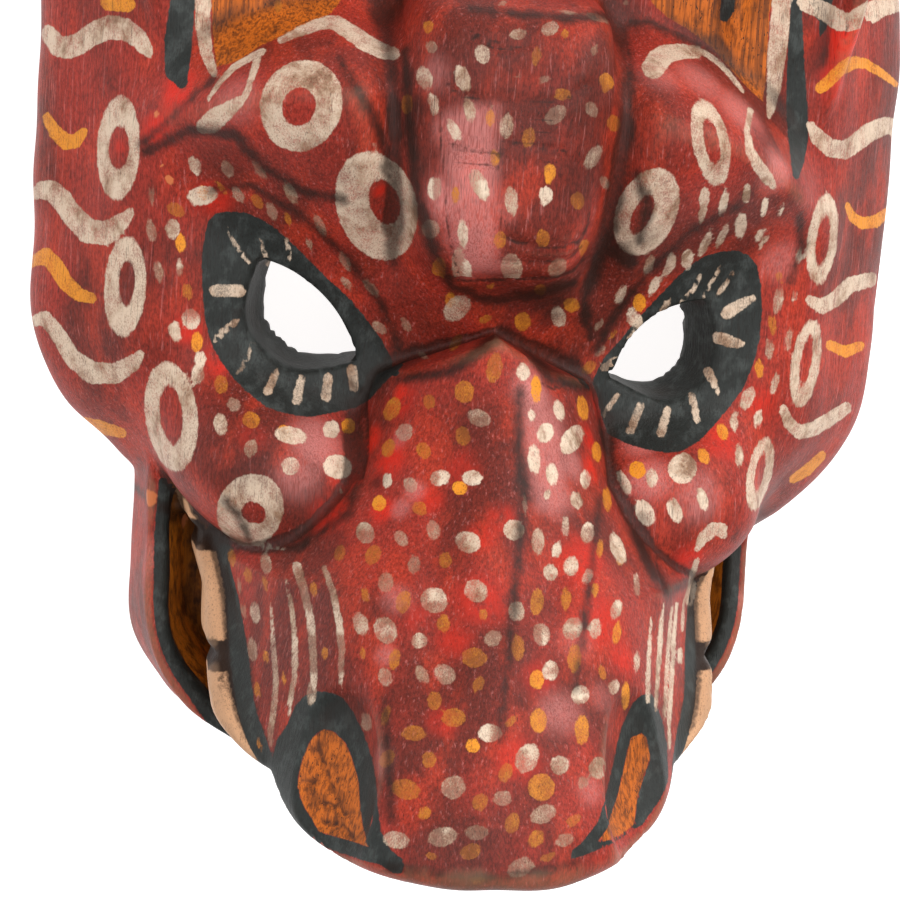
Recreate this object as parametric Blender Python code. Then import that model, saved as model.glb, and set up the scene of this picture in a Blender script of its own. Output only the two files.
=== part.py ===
"""Carved wooden animal mask, lying on its back rim with the face up.

X runs across the face, Y from the chin up to the ears, Z out of the face. The origin is on the
floor, in the middle of the mask's underside. The sizes below are millimetres. The face is set out
from the eye line (Y = 0) and the midline (X = 0), as a carver marks a block, as one field that is
negative inside the wood; the field is turned into a surface and moved onto the origin at the end.
"""

import bmesh
import bpy
import numpy as np

MM = 0.001

# Head block
HALF_WIDTH = 103.5         # half the width of the face at the eye line
WIDENING = 0.021           # growth of that half width for each millimetre upwards
HEAD_TOP = 134.0           # crown of the head
CHEEK_LINE = -59.0         # lower end of the face block, behind the snout
BLOCK_FRONT_Z = 62.0       # front of the block between the side panels
PANEL_EDGE_Z = 32.0        # front of a side panel at its outer edge
PANEL_SLOPE = 1.2          # rise of a side panel from its outer edge inwards
RIM_TAPER = 5.0            # the back rim is this much narrower than the widest line
RIM_WALL = 11.0            # wood left round the hollow
HOLLOW_Z = 50.0            # depth of the hollow behind the eyes

# Unevenness of the hand carving
HEAD_SKEW_AT = (-58.0, -45.0, -25.0, 5.0, 40.0)
HEAD_SKEW = (6.0, 4.5, 4.0, 5.0, 6.0)
SNOUT_SKEW_AT = (-112.0, -90.0, -72.0, -30.0)
SNOUT_SKEW = (-8.0, -4.5, -3.4, 0.0)
EYE_SHIFT = 2.2            # both eyes sit this far off the midline

# Brows and forehead
BROW_Z = 92.0
BROW_START = (22.0, 1.0)   # lower edge of the brow beside the nose
BROW_TURN = 31.0           # degrees that this edge climbs outwards
BROW_SLOPE = 1.15          # rise of the brow's underside
BROW_ARC = (63.0, 50.0)    # reach of the brow's upper edge, outwards and upwards
BROW_ARC_CENTRE = (20.0, 30.0)
BROW_VALLEY = 5.0          # depth of the valley between brow and forehead
FOREHEAD_HALF = 23.5
FOREHEAD_TAPER = 0.09      # narrowing for each millimetre downwards
FOREHEAD_LOW = 16.5
FOREHEAD_HIGH = 84.0
FOREHEAD_Z = 98.0

# Eyes
EYE_CENTRE = (44.0, 3.0)
EYE_TURN = 34.0            # degrees, outer end higher
EYE_SURFACE_Z = 63.0
HOLE_CENTRE = (39.5, 5.0)  # middle of the hole's straight upper edge
HOLE_TURN = 43.0           # degrees that this edge climbs outwards
HOLE_HALF = 14.0           # depth of the hole below its upper edge
HOLE_REACH = 15.0          # half the length of that edge
HOLE_OUT = 0.42            # lean outwards for each millimetre of depth
HOLE_DOWN = -0.12          # lean towards the chin for each millimetre of depth

# Cheeks
CHEEK_CENTRE = (43.5, -36.5, 50.0)
CHEEK_SIZE = (29.5, 19.5, 28.5)
CHEEK_TURN = 25.0

# Snout
SNOUT_TIP = -112.0
SNOUT_HALF = 56.0
SNOUT_TOP = 4.0
CREST_Z = 142.0            # highest line of the snout, at its tip
CREST_FALL = (58.0, 42.0, 22.0, 4.0, 0.0)
CREST_Y = (3.0, -27.0, -62.0, -98.0, -112.0)
SNOUT_DROP = 54.0          # fall from the crest to the lip line
LIP_Z = 9.6                # height of the lip line at the eye line, extended
LIP_SLOPE = 0.95           # rise of the lip line for each millimetre towards the tip
VALLEY = 2.6               # depth of the two long valleys beside the crest

# Nostrils
NOSTRIL_CENTRE = (35.5, -91.0, 120.5)
NOSTRIL_SIZE = (12.0, 22.0, 6.0)
NOSTRIL_NORMAL = (1.1, 0.45, 1.0)

# Lower jaw
JAW_HALF = 75.0
CHIN = -110.0
JAW_LIP_Z = 44.0           # height of the lower lip at the corner of the mouth
JAW_LIP_RISE = 0.25
JAW_WALL = 5.0             # lower lip, measured across
JAW_LEAN = 0.09            # lean of the jaw's side inwards for each millimetre up
TROUGH_Z = 27.0            # floor of the mouth

# Teeth
TOOTH_STEP = 12.0          # length of a tooth along the lip
TOOTH_DROP = 13.0          # height of the row of teeth
TOOTH_OUT = 4.5            # how far the row stands out past the lip
TOOTH_GAP = 1.6            # depth of the notches between teeth

# Ears
EAR_ROOT = (67.0, 46.0)
EAR_LENGTH = 116.0
EAR_LEAN = 7.0             # how far the tip stands further out than the root
EAR_HALF = 17.5
EAR_SCOOP = 6.0
EAR_THICK = 23.0

# Roughing grid and final surface
GRID = 1.9
TRIANGLES = 9300


def smin(a, b, k):
    """Join two fields with a fillet of about k millimetres."""
    h = np.clip(0.5 + 0.5 * (b - a) / k, 0.0, 1.0)
    return b + (a - b) * h - k * h * (1.0 - h)


def smax(a, b, k):
    """Common part of two fields with a rounded edge."""
    return -smin(-a, -b, k)


def ease(t):
    """Smooth step from 0 to 1."""
    t = np.clip(t, 0.0, 1.0)
    return t * t * (3.0 - 2.0 * t)


def turned(x, y, centre, degrees):
    """Coordinates in a frame at centre turned by degrees in the face plane."""
    c = np.cos(np.radians(degrees))
    s = np.sin(np.radians(degrees))
    dx = x - centre[0]
    dy = y - centre[1]
    return dx * c + dy * s, dy * c - dx * s


def ellipsoid(u, v, w, size, power=2.0):
    """Field of a superellipsoid, close to a distance in millimetres."""
    q = (np.abs(u / size[0]) ** power + np.abs(v / size[1]) ** power
         + np.abs(w / size[2]) ** power) ** (1.0 / power)
    return (q - 1.0) * min(size)


def rounded_outline(a, d, half, reach, power):
    """Distance along the ray outside a superellipse quarter, a across and d along."""
    d = np.maximum(d, 0.0)
    size = ((a / half) ** power + (d / reach) ** power) ** (1.0 / power)
    return np.hypot(a, d) * (1.0 - 1.0 / np.maximum(size, 0.02))


def skewed(x, y, heights, amounts):
    """Undo the uneven setting-out of the hand carving, whose right side sits lower by amounts."""
    amount = np.interp(y, heights, amounts)
    reach = np.minimum((np.abs(x) / 75.0) ** 2, 1.2)
    shift = EYE_SHIFT * np.exp(-((y + 8.0) / 34.0) ** 2 - (x / 72.0) ** 4)
    return x - shift, y + amount * reach * np.sign(x)


def face_outline(a, y):
    """Distance outside the face's plan outline."""
    low = rounded_outline(a, -y, HALF_WIDTH, -CHEEK_LINE, 2.25)
    top_start = 70.0
    half = HALF_WIDTH + WIDENING * np.clip(y, 0.0, top_start)
    high = rounded_outline(a, y - top_start, HALF_WIDTH + WIDENING * top_start,
                           HEAD_TOP - top_start, 2.7)
    mid = a - half
    return np.where(y < 0.0, low, np.where(y > top_start, high, mid))


def jaw_outline(a, y):
    """Distance outside the lower jaw's plan outline."""
    start = -63.0
    return np.where(y < start, rounded_outline(a, start - y, JAW_HALF, start - CHIN, 2.2),
                    a - JAW_HALF)


def head(a, y, z):
    """Block, brows, forehead and cheeks."""
    edge = face_outline(a, y)
    front = smin(BLOCK_FRONT_Z + 0.0 * a, PANEL_EDGE_Z - PANEL_SLOPE * edge, 10.0)
    taper = RIM_TAPER * np.clip(1.0 - z / PANEL_EDGE_Z, 0.0, 1.2)
    block = smax(edge + taper, (z - front) * 0.7, 5.0)

    base = BLOCK_FRONT_Z - 2.0
    rise = turned(a, y, BROW_START, BROW_TURN)[1]
    inside = -rounded_outline(np.abs(a - BROW_ARC_CENTRE[0]), np.abs(y - BROW_ARC_CENTRE[1]),
                              BROW_ARC[0], BROW_ARC[1], 2.0)
    crown = BROW_Z - 0.0035 * ((a - 40.0) ** 2 + (y - 52.0) ** 2)
    brow_top = smin(smin(base + BROW_SLOPE * rise, base + 2.2 * inside, 8.0), crown, 16.0)
    cut = a - FOREHEAD_HALF - 3.5 + FOREHEAD_TAPER * (60.0 - y)
    window = ease((y - 8.0) / 14.0) * ease((88.0 - y) / 16.0)
    brow_top = brow_top - BROW_VALLEY * np.exp(-(cut / 5.0) ** 2) * window
    brow = smax((z - brow_top) * 0.6, -inside - 4.0, 4.0)
    mid_y = 0.5 * (FOREHEAD_LOW + FOREHEAD_HIGH)
    forehead = ellipsoid(a - FOREHEAD_TAPER * (y - mid_y), y - mid_y, z - 50.0,
                         (FOREHEAD_HALF, 0.5 * (FOREHEAD_HIGH - FOREHEAD_LOW) + 1.0,
                          FOREHEAD_Z - 50.0), 5.5)
    mass = smin(smax(brow, -z, 1.0), forehead, 3.0)
    body = smin(block, mass, 6.0)

    u, v = turned(a, y, EYE_CENTRE, EYE_TURN)
    lid = ellipsoid(u + 0.5, v, z - EYE_SURFACE_Z + 14.0, (27.0, 19.0, 14.0), 2.2)
    body = smin(body, lid, 1.5)

    u, v = turned(a, y, CHEEK_CENTRE, CHEEK_TURN)
    cheek = ellipsoid(u, v, z - CHEEK_CENTRE[2], CHEEK_SIZE, 2.4)
    return smin(body, cheek, 8.0)


def snout(a, y, z):
    """Long hanging snout, cut off below by the lip line."""
    start = -60.0
    plan = np.where(y < start, rounded_outline(a, start - y, SNOUT_HALF, start - SNOUT_TIP, 2.8),
                    a - SNOUT_HALF - 0.3 * (y - start))
    wide = np.interp(y, (-60.0, -53.0, -30.0, -12.0, 0.0), (56.0, 57.0, 38.5, 33.0, 31.0))
    crest = np.interp(-y, [-c for c in CREST_Y],
                      [CREST_Z - fall for fall in CREST_FALL])
    valley = VALLEY * np.exp(-((a - 13.0) / 6.0) ** 2) * ease((y + 85.0) / 40.0)
    top = crest - SNOUT_DROP * (a / wide) ** 2.8 - valley
    body = smax(plan, (z - top) * 0.72, 6.0)
    body = smax(body, (y - SNOUT_TOP + 0.5 * a) * 0.9, 2.0)
    lip = LIP_Z - LIP_SLOPE * y
    return smax(body, (lip - z) * 0.72, 3.0)


def teeth(a, y, z):
    """Row of upper teeth, a notched ledge just inside the lip."""
    start = -60.0
    plan = np.where(y < start, rounded_outline(a, start - y, SNOUT_HALF, start - SNOUT_TIP, 2.8),
                    a - SNOUT_HALF - 0.3 * (y - start))
    lip = LIP_Z - LIP_SLOPE * y
    depth = (lip - z) * 0.72
    notch = TOOTH_GAP * np.exp(-((np.mod(y + 2.0, TOOTH_STEP) - 0.5 * TOOTH_STEP) / 1.3) ** 2)
    ledge = smax(plan - TOOTH_OUT + notch + 6.0 * ease((-82.0 - y) / 16.0), depth - TOOTH_DROP, 3.0)
    ledge = smax(ledge, 1.0 - depth + np.minimum(plan, 0.0), 2.5)
    return smax(ledge, -plan - 6.0, 1.5)


def jaw(a, y, z):
    """Lower jaw with its trough."""
    edge = jaw_outline(a, y)
    lip = JAW_LIP_Z + JAW_LIP_RISE * np.clip(-50.0 - y, 0.0, 60.0)
    lean = JAW_LEAN * np.clip(z - 25.0, 0.0, 60.0)
    outer = edge + RIM_TAPER * np.clip(1.0 - z / 25.0, 0.0, 1.2) + lean
    body = smax(outer, z - lip, 2.0)
    body = smax(body, y + 25.0, 2.0)
    inner = smax(edge + lean + JAW_WALL + 0.4 * (lip - z), TROUGH_Z - z, 5.0)
    return smax(body, -inner, 1.0)


def ear(a, y, z):
    """Upright leaf-shaped ear with a scooped front."""
    t = np.clip((y - EAR_ROOT[1]) / EAR_LENGTH, -0.2, 1.2)
    axis = EAR_ROOT[0] + EAR_LEAN * t
    bow = 1.0 - np.abs((t - 0.5) / 0.5) ** 2.4
    width = EAR_HALF * np.sign(bow) * np.abs(bow) ** 0.7
    leaf = np.abs(a - axis) - width
    face = 59.0 + 15.0 * ease(t * 1.3) - 15.0 * ease((t - 0.5) / 0.5)
    half = 0.5 * EAR_THICK
    body = smax(leaf * 0.9, (np.abs(z - face + half) - half) * 0.9, 4.0)
    scoop = ellipsoid(a - axis, (y - EAR_ROOT[1] - 0.5 * EAR_LENGTH), z - face - 1.0,
                      (EAR_HALF - 4.5, 0.5 * EAR_LENGTH - 9.0, EAR_SCOOP + 1.0), 2.0)
    return smax(body, -scoop, 1.5)


def hollow(a, y, z):
    """Room for the wearer's face."""
    edge = face_outline(a, y)
    depth = smin(HOLLOW_Z + 0.0 * a, PANEL_EDGE_Z - 17.0 - PANEL_SLOPE * (edge + RIM_WALL - 9.0), 14.0)
    face = smax(edge + RIM_WALL + RIM_TAPER, (z - depth) * 0.75, 9.0)
    crown = ellipsoid(a, y - 40.0, z - 28.0, (56.0, 40.0, 40.0), 2.4)
    nose = ellipsoid(a, y + 20.0, z - 38.0, (18.0, 26.0, 36.0), 2.2)
    mouth = smax(jaw_outline(a, y) + RIM_WALL + RIM_TAPER, z - TROUGH_Z + RIM_WALL, 6.0)
    back = smax(mouth, y + 20.0, 3.0)
    return smin(smin(face, crown, 8.0), smin(nose, back, 8.0), 8.0)


def eye_hole(a, y, z):
    """Slot through the wood, opening outwards."""
    rise = z - 56.0
    u, v = turned(a - HOLE_OUT * rise, y - HOLE_DOWN * rise, HOLE_CENTRE, HOLE_TURN)
    reach = HOLE_REACH + 0.10 * rise
    wide = HOLE_HALF + 0.10 * rise
    slot = np.where(v > 0.0, v - 0.35 * wide * (1.0 - np.abs(u / reach) ** 2.0),
                    -v - wide * (1.0 - np.abs(u / reach) ** 2.6))
    return smax(slot * 0.8, 30.0 - z, 1.0)


def nostril(a, y, z):
    """Scooped nostril on the snout's corner."""
    out = np.array(NOSTRIL_NORMAL) / np.linalg.norm(NOSTRIL_NORMAL)
    along = np.array((-0.30, -1.0, 0.0))
    along = along - out * along.dot(out)
    along = along / np.linalg.norm(along)
    across = np.cross(along, out)
    p = (a - NOSTRIL_CENTRE[0], y - NOSTRIL_CENTRE[1], z - NOSTRIL_CENTRE[2])
    u, v, w = (p[0] * d[0] + p[1] * d[1] + p[2] * d[2] for d in (across, along, out))
    return ellipsoid(u, v, w, NOSTRIL_SIZE, 2.2)


def wood(x, y, z):
    """Field of the whole mask, negative inside the wood."""
    hx, hy = skewed(x, y, HEAD_SKEW_AT, HEAD_SKEW)
    ha = np.abs(hx)
    sx, sy = skewed(x, y, SNOUT_SKEW_AT, SNOUT_SKEW)
    sa = np.abs(sx)
    body = smin(head(ha, hy, z), ear(ha, hy, z), 2.0)
    body = smin(body, snout(sa, sy, z), 1.6)
    body = smin(body, teeth(sa, sy, z), 0.5)
    body = smin(body, jaw(sa, sy, z), 3.0)
    body = smax(body, -hollow(np.abs(x), y, z), 3.0)
    body = smax(body, -eye_hole(ha, hy, z), 1.2)
    body = smax(body, -nostril(sa, sy, z), 1.0)
    return smax(body, -6.0 - z, 0.5)


def surface(field, low, step):
    """Triangles of the zero level, from six tetrahedra in every grid cell it passes through."""
    shape = field.shape
    stride = (shape[1] * shape[2], shape[2], 1)
    flat = field.ravel()
    inside = field < 0.0
    corners = [inside[i:shape[0] - 1 + i, j:shape[1] - 1 + j, k:shape[2] - 1 + k]
               for i in (0, 1) for j in (0, 1) for k in (0, 1)]
    total = sum(c.astype(np.int8) for c in corners)
    cells = np.argwhere((total > 0) & (total < 8)) @ np.array(stride)
    pairs = []
    for first, second in ((0, 1), (1, 0), (0, 2), (2, 0), (1, 2), (2, 1)):
        c1 = cells + stride[first]
        c2 = c1 + stride[second]
        tet = np.stack((cells, c1, c2, cells + sum(stride)), 1)
        low_side = flat[tet] < 0.0
        count = low_side.sum(1)
        for n in (1, 2, 3):
            pick = tet[count == n]
            order = np.argsort(~low_side[count == n], axis=1, kind="stable")
            pick = np.take_along_axis(pick, order, 1)
            p, q, s, t = pick.T
            if n == 1:
                faces = (((p, q), (p, s), (p, t)),)
            elif n == 2:
                faces = (((p, s), (p, t), (q, t)), ((p, s), (q, t), (q, s)))
            else:
                faces = (((t, p), (t, q), (t, s)),)
            for face in faces:
                pairs.append(np.stack([np.stack(edge, 1) for edge in face], 1))
    pairs = np.sort(np.concatenate(pairs), axis=2)
    keys = pairs[..., 0] * flat.size + pairs[..., 1]
    unique, faces = np.unique(keys.ravel(), return_inverse=True)
    ends = np.stack((unique // flat.size, unique % flat.size), 1)
    f0 = flat[ends[:, 0]]
    f1 = flat[ends[:, 1]]
    share = np.clip(f0 / (f0 - f1), 0.04, 0.96)[:, None]
    at = [np.stack(np.unravel_index(ends[:, k], shape), 1).astype(float) for k in (0, 1)]
    points = (at[0] * (1.0 - share) + at[1] * share) * step + np.array(low)
    faces = faces.reshape(-1, 3)
    outward = (at[1] - at[0]) * np.where(f0 < 0.0, 1.0, -1.0)[:, None]
    corner = points[faces]
    normal = np.cross(corner[:, 1] - corner[:, 0], corner[:, 2] - corner[:, 0])
    wrong = (normal * outward[faces].sum(1)).sum(1) < 0.0
    faces[wrong] = faces[wrong][:, ::-1]
    return points, faces


def roughed_out():
    """Evaluate the field on the grid and return the rough surface as a mesh."""
    low = np.array((-HALF_WIDTH - 12.0, min(CHIN, SNOUT_TIP - 2.0) - 8.0, -10.0))
    high = np.array((HALF_WIDTH + 12.0, max(EAR_ROOT[1] + EAR_LENGTH, HEAD_TOP) + 12.0,
                     max(CREST_Z, FOREHEAD_Z) + 12.0))
    size = np.ceil((high - low) / GRID).astype(int) + 1
    axes = [low[k] + GRID * np.arange(size[k]) for k in range(3)]
    field = np.empty(tuple(size))
    for k, z in enumerate(axes[2]):
        gx, gy = np.meshgrid(axes[0], axes[1], indexing="ij")
        field[:, :, k] = wood(gx, gy, z + 0.0 * gx)
    field[np.abs(field) < 1e-6] = 1e-6
    points, faces = surface(field, low, GRID)
    mesh = bpy.data.meshes.new("rough")
    mesh.from_pydata(points.tolist(), [], faces.tolist())
    return mesh


def keep_largest(bm):
    """Drop stray crumbs so that one connected body is left."""
    seen = set()
    groups = []
    for start in bm.verts:
        if start in seen:
            continue
        stack = [start]
        seen.add(start)
        group = []
        while stack:
            vert = stack.pop()
            group.append(vert)
            for edge in vert.link_edges:
                other = edge.other_vert(vert)
                if other not in seen:
                    seen.add(other)
                    stack.append(other)
        groups.append(group)
    groups.sort(key=len)
    for group in groups[:-1]:
        bmesh.ops.delete(bm, geom=group, context="VERTS")


def reduced(mesh):
    """Smooth the rough surface a little and bring it down to the wanted triangle count."""
    obj = bpy.data.objects.new("rough", mesh)
    bpy.context.scene.collection.objects.link(obj)
    smooth = obj.modifiers.new("smooth", "SMOOTH")
    smooth.factor = 0.4
    smooth.iterations = 2
    fewer = obj.modifiers.new("fewer", "DECIMATE")
    fewer.ratio = TRIANGLES / len(mesh.polygons)
    fewer.use_collapse_triangulate = True
    graph = bpy.context.evaluated_depsgraph_get()
    out = bpy.data.meshes.new_from_object(obj.evaluated_get(graph))
    bpy.data.objects.remove(obj, do_unlink=True)
    return out


def rested(mesh):
    """Cut the back off level, close the rim and move the origin under the middle."""
    bm = bmesh.new()
    bm.from_mesh(mesh)
    keep_largest(bm)
    bmesh.ops.bisect_plane(bm, geom=bm.verts[:] + bm.edges[:] + bm.faces[:], dist=1e-5,
                           plane_co=(0.0, 0.0, 0.0), plane_no=(0.0, 0.0, 1.0), clear_inner=True)
    border = [e for e in bm.edges if e.is_boundary]
    bmesh.ops.triangle_fill(bm, use_beauty=True, edges=border, normal=(0.0, 0.0, -1.0))
    bmesh.ops.recalc_face_normals(bm, faces=bm.faces[:])
    bmesh.ops.triangulate(bm, faces=bm.faces[:])
    xs = [v.co.x for v in bm.verts]
    ys = [v.co.y for v in bm.verts]
    mid_x = 0.5 * (min(xs) + max(xs))
    mid_y = 0.5 * (min(ys) + max(ys))
    for v in bm.verts:
        v.co.x = (v.co.x - mid_x) * MM
        v.co.y = (v.co.y - mid_y) * MM
        v.co.z = max(v.co.z, 0.0) * MM
    done = bpy.data.meshes.new("mask")
    bm.to_mesh(done)
    bm.free()
    return done


def painted_wood():
    """Plain red painted wood."""
    mat = bpy.data.materials.new("painted_wood")
    mat.use_nodes = True
    shader = mat.node_tree.nodes["Principled BSDF"]
    shader.inputs["Base Color"].default_value = (0.42, 0.035, 0.03, 1.0)
    shader.inputs["Roughness"].default_value = 0.5
    shader.inputs["Metallic"].default_value = 0.0
    return mat


for old in list(bpy.data.objects):
    bpy.data.objects.remove(old, do_unlink=True)

mask = bpy.data.objects.new("mask", rested(reduced(roughed_out())))
mask.data.materials.append(painted_wood())
bpy.context.scene.collection.objects.link(mask)
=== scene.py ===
import bpy
import bmesh
import numpy as np
from mathutils import Matrix


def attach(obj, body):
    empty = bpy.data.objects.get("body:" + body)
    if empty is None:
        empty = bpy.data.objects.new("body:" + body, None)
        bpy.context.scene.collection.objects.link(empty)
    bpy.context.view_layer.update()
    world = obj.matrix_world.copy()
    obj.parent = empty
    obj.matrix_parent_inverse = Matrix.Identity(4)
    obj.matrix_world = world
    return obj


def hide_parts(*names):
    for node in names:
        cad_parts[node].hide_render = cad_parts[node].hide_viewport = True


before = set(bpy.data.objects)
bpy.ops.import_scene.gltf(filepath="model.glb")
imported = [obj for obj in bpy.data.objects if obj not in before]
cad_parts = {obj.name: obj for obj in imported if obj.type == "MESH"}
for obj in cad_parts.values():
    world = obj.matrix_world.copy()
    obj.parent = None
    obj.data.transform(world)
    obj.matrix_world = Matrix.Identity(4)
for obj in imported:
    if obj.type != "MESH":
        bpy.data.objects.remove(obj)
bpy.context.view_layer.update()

scene = bpy.context.scene

# Sizes are millimetres in the face's own frame: X to the viewer's right, Y up from the eye line,
# Z out of the face. The part's middle stands at faceMiddle in that frame.
faceMiddle = (0.019, 27.751)
unit = 0.001

headSize = dict(
    halfWidth=103.5, widening=0.021, top=134.0, cheekLine=-59.0,
    frontZ=62.0, panelEdgeZ=32.0, panelSlope=1.2,      # front of the block and its side panels
    rimTaper=5.0, rimWall=11.0, hollowZ=50.0,
    skewAt=(-58.0, -45.0, -25.0, 5.0, 40.0), skew=(6.0, 4.5, 4.0, 5.0, 6.0),
)
browSize = dict(
    z=92.0, start=(22.0, 1.0), turn=31.0, slope=1.15,
    arc=(63.0, 50.0), arcCentre=(20.0, 30.0), valley=5.0,
)
foreheadSize = dict(half=23.5, taper=0.09, low=16.5, high=84.0, z=98.0)
eyeSize = dict(
    centre=(44.0, 3.0), turn=34.0, surfaceZ=63.0, shift=2.2,
    holeCentre=(39.5, 5.0), holeTurn=43.0, holeHalf=14.0, holeReach=15.0, holeOut=0.42, holeDown=-0.12,
)
cheekSize = dict(centre=(43.5, -36.5, 50.0), size=(29.5, 19.5, 28.5), turn=25.0)
snoutSize = dict(
    tip=-112.0, half=56.0, top=4.0, crest=142.0,
    crestFall=(58.0, 42.0, 22.0, 4.0, 0.0), crestAt=(3.0, -27.0, -62.0, -98.0, -112.0),
    drop=54.0, lipZ=9.6, lipSlope=0.95, valley=2.6,
    skewAt=(-112.0, -90.0, -72.0, -30.0), skew=(-8.0, -4.5, -3.4, 0.0),
)
nostrilSize = dict(centre=(35.5, -91.0, 120.5), size=(12.0, 22.0, 6.0), normal=(1.1, 0.45, 1.0))
jawSize = dict(half=75.0, chin=-110.0, lipZ=44.0, lipRise=0.25, wall=5.0, lean=0.09, troughZ=27.0)
toothSize = dict(step=23.0, shift=14.5, drop=13.0, out=4.5, gap=2.2)
earSize = dict(root=(67.0, 46.0), length=116.0, lean=7.0, half=17.5, scoop=6.0, thick=23.0)


def joined(a, b, k):
    h = np.clip(0.5 + 0.5 * (b - a) / k, 0.0, 1.0)
    return b + (a - b) * h - k * h * (1.0 - h)


def common(a, b, k):
    return -joined(-a, -b, k)


def ease(t):
    t = np.clip(t, 0.0, 1.0)
    return t * t * (3.0 - 2.0 * t)


def turned(x, y, centre, degrees):
    c = np.cos(np.radians(degrees))
    s = np.sin(np.radians(degrees))
    dx = x - centre[0]
    dy = y - centre[1]
    return dx * c + dy * s, dy * c - dx * s


def ellipsoid(u, v, w, size, power=2.0):
    q = (np.abs(u / size[0]) ** power + np.abs(v / size[1]) ** power
         + np.abs(w / size[2]) ** power) ** (1.0 / power)
    return (q - 1.0) * min(size)


def roundedOutline(a, d, half, reach, power):
    d = np.maximum(d, 0.0)
    size = ((a / half) ** power + (d / reach) ** power) ** (1.0 / power)
    return np.hypot(a, d) * (1.0 - 1.0 / np.maximum(size, 0.02))


def skewed(x, y, heights, amounts):
    amount = np.interp(y, heights, amounts)
    reach = np.minimum((np.abs(x) / 75.0) ** 2, 1.2)
    shift = eyeSize["shift"] * np.exp(-((y + 8.0) / 34.0) ** 2 - (x / 72.0) ** 4)
    return x - shift, y + amount * reach * np.sign(x)


def faceOutline(a, y):
    s = headSize
    topStart = 70.0
    low = roundedOutline(a, -y, s["halfWidth"], -s["cheekLine"], 2.25)
    half = s["halfWidth"] + s["widening"] * np.clip(y, 0.0, topStart)
    high = roundedOutline(a, y - topStart, s["halfWidth"] + s["widening"] * topStart,
                          s["top"] - topStart, 2.7)
    return np.where(y < 0.0, low, np.where(y > topStart, high, a - half))


def jawOutline(a, y):
    start = -63.0
    half = jawSize["half"]
    return np.where(y < start, roundedOutline(a, start - y, half, start - jawSize["chin"], 2.2), a - half)


def snoutOutline(a, y):
    start = -60.0
    half = snoutSize["half"]
    return np.where(y < start, roundedOutline(a, start - y, half, start - snoutSize["tip"], 2.8),
                    a - half - 0.3 * (y - start))


def lipLine(y):
    return snoutSize["lipZ"] - snoutSize["lipSlope"] * y


def headForm(a, y, z):
    s = headSize
    b = browSize
    f = foreheadSize
    edge = faceOutline(a, y)
    front = joined(s["frontZ"] + 0.0 * a, s["panelEdgeZ"] - s["panelSlope"] * edge, 10.0)
    taper = s["rimTaper"] * np.clip(1.0 - z / s["panelEdgeZ"], 0.0, 1.2)
    block = common(edge + taper, (z - front) * 0.7, 5.0)
    base = s["frontZ"] - 2.0
    rise = turned(a, y, b["start"], b["turn"])[1]
    inside = -roundedOutline(np.abs(a - b["arcCentre"][0]), np.abs(y - b["arcCentre"][1]),
                             b["arc"][0], b["arc"][1], 2.0)
    crown = b["z"] - 0.0035 * ((a - 40.0) ** 2 + (y - 52.0) ** 2)
    browTop = joined(joined(base + b["slope"] * rise, base + 2.2 * inside, 8.0), crown, 16.0)
    cut = a - f["half"] - 3.5 + f["taper"] * (60.0 - y)
    window = ease((y - 8.0) / 14.0) * ease((88.0 - y) / 16.0)
    browTop = browTop - b["valley"] * np.exp(-(cut / 5.0) ** 2) * window
    brow = common((z - browTop) * 0.6, -inside - 4.0, 4.0)
    midY = 0.5 * (f["low"] + f["high"])
    forehead = ellipsoid(a - f["taper"] * (y - midY), y - midY, z - 50.0,
                         (f["half"], 0.5 * (f["high"] - f["low"]) + 1.0, f["z"] - 50.0), 4.4)
    mass = joined(common(brow, -z, 1.0), forehead, 4.5)
    body = joined(block, mass, 6.0)
    u, v = turned(a, y, eyeSize["centre"], eyeSize["turn"])
    lid = ellipsoid(u + 0.5, v, z - eyeSize["surfaceZ"] + 14.0, (27.0, 19.0, 14.0), 2.2)
    body = joined(body, lid, 1.5)
    c = cheekSize
    u, v = turned(a, y, c["centre"], c["turn"])
    return joined(body, ellipsoid(u, v, z - c["centre"][2], c["size"], 2.4), 8.0)


def snoutForm(a, y, z):
    s = snoutSize
    plan = snoutOutline(a, y)
    wide = np.interp(y, (-60.0, -53.0, -30.0, -12.0, 0.0), (56.0, 57.0, 38.5, 33.0, 31.0))
    crest = np.interp(-y, [-c for c in s["crestAt"]], [s["crest"] - fall for fall in s["crestFall"]])
    valley = s["valley"] * np.exp(-((a - 13.0) / 6.0) ** 2) * ease((y + 85.0) / 40.0)
    top = crest - s["drop"] * (a / wide) ** 2.8 - valley
    body = common(plan, (z - top) * 0.72, 6.0)
    body = common(body, (y - s["top"] + 0.5 * a) * 0.9, 2.0)
    return common(body, (lipLine(y) - z) * 0.72, 3.0)


def toothGap(y):
    return np.mod(y + toothSize["shift"], toothSize["step"]) - 0.5 * toothSize["step"]


def toothForm(a, y, z):
    s = toothSize
    plan = snoutOutline(a, y)
    depth = (lipLine(y) - z) * 0.72
    notch = s["gap"] * np.exp(-(toothGap(y) / 2.0) ** 2)
    ledge = common(plan - s["out"] + notch + 6.0 * ease((-82.0 - y) / 16.0), depth - s["drop"], 3.0)
    ledge = common(ledge, 1.0 - depth + np.minimum(plan, 0.0), 2.5)
    return common(ledge, -plan - 6.0, 1.5)


def jawLip(y):
    return jawSize["lipZ"] + jawSize["lipRise"] * np.clip(-50.0 - y, 0.0, 60.0)


def jawForm(a, y, z):
    s = jawSize
    edge = jawOutline(a, y)
    lip = jawLip(y)
    lean = s["lean"] * np.clip(z - 25.0, 0.0, 60.0)
    outer = edge + headSize["rimTaper"] * np.clip(1.0 - z / 25.0, 0.0, 1.2) + lean
    body = common(common(outer, z - lip, 2.0), y + 25.0, 2.0)
    inner = common(edge + lean + s["wall"] + 0.4 * (lip - z), s["troughZ"] - z, 5.0)
    return common(body, -inner, 1.0)


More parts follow.
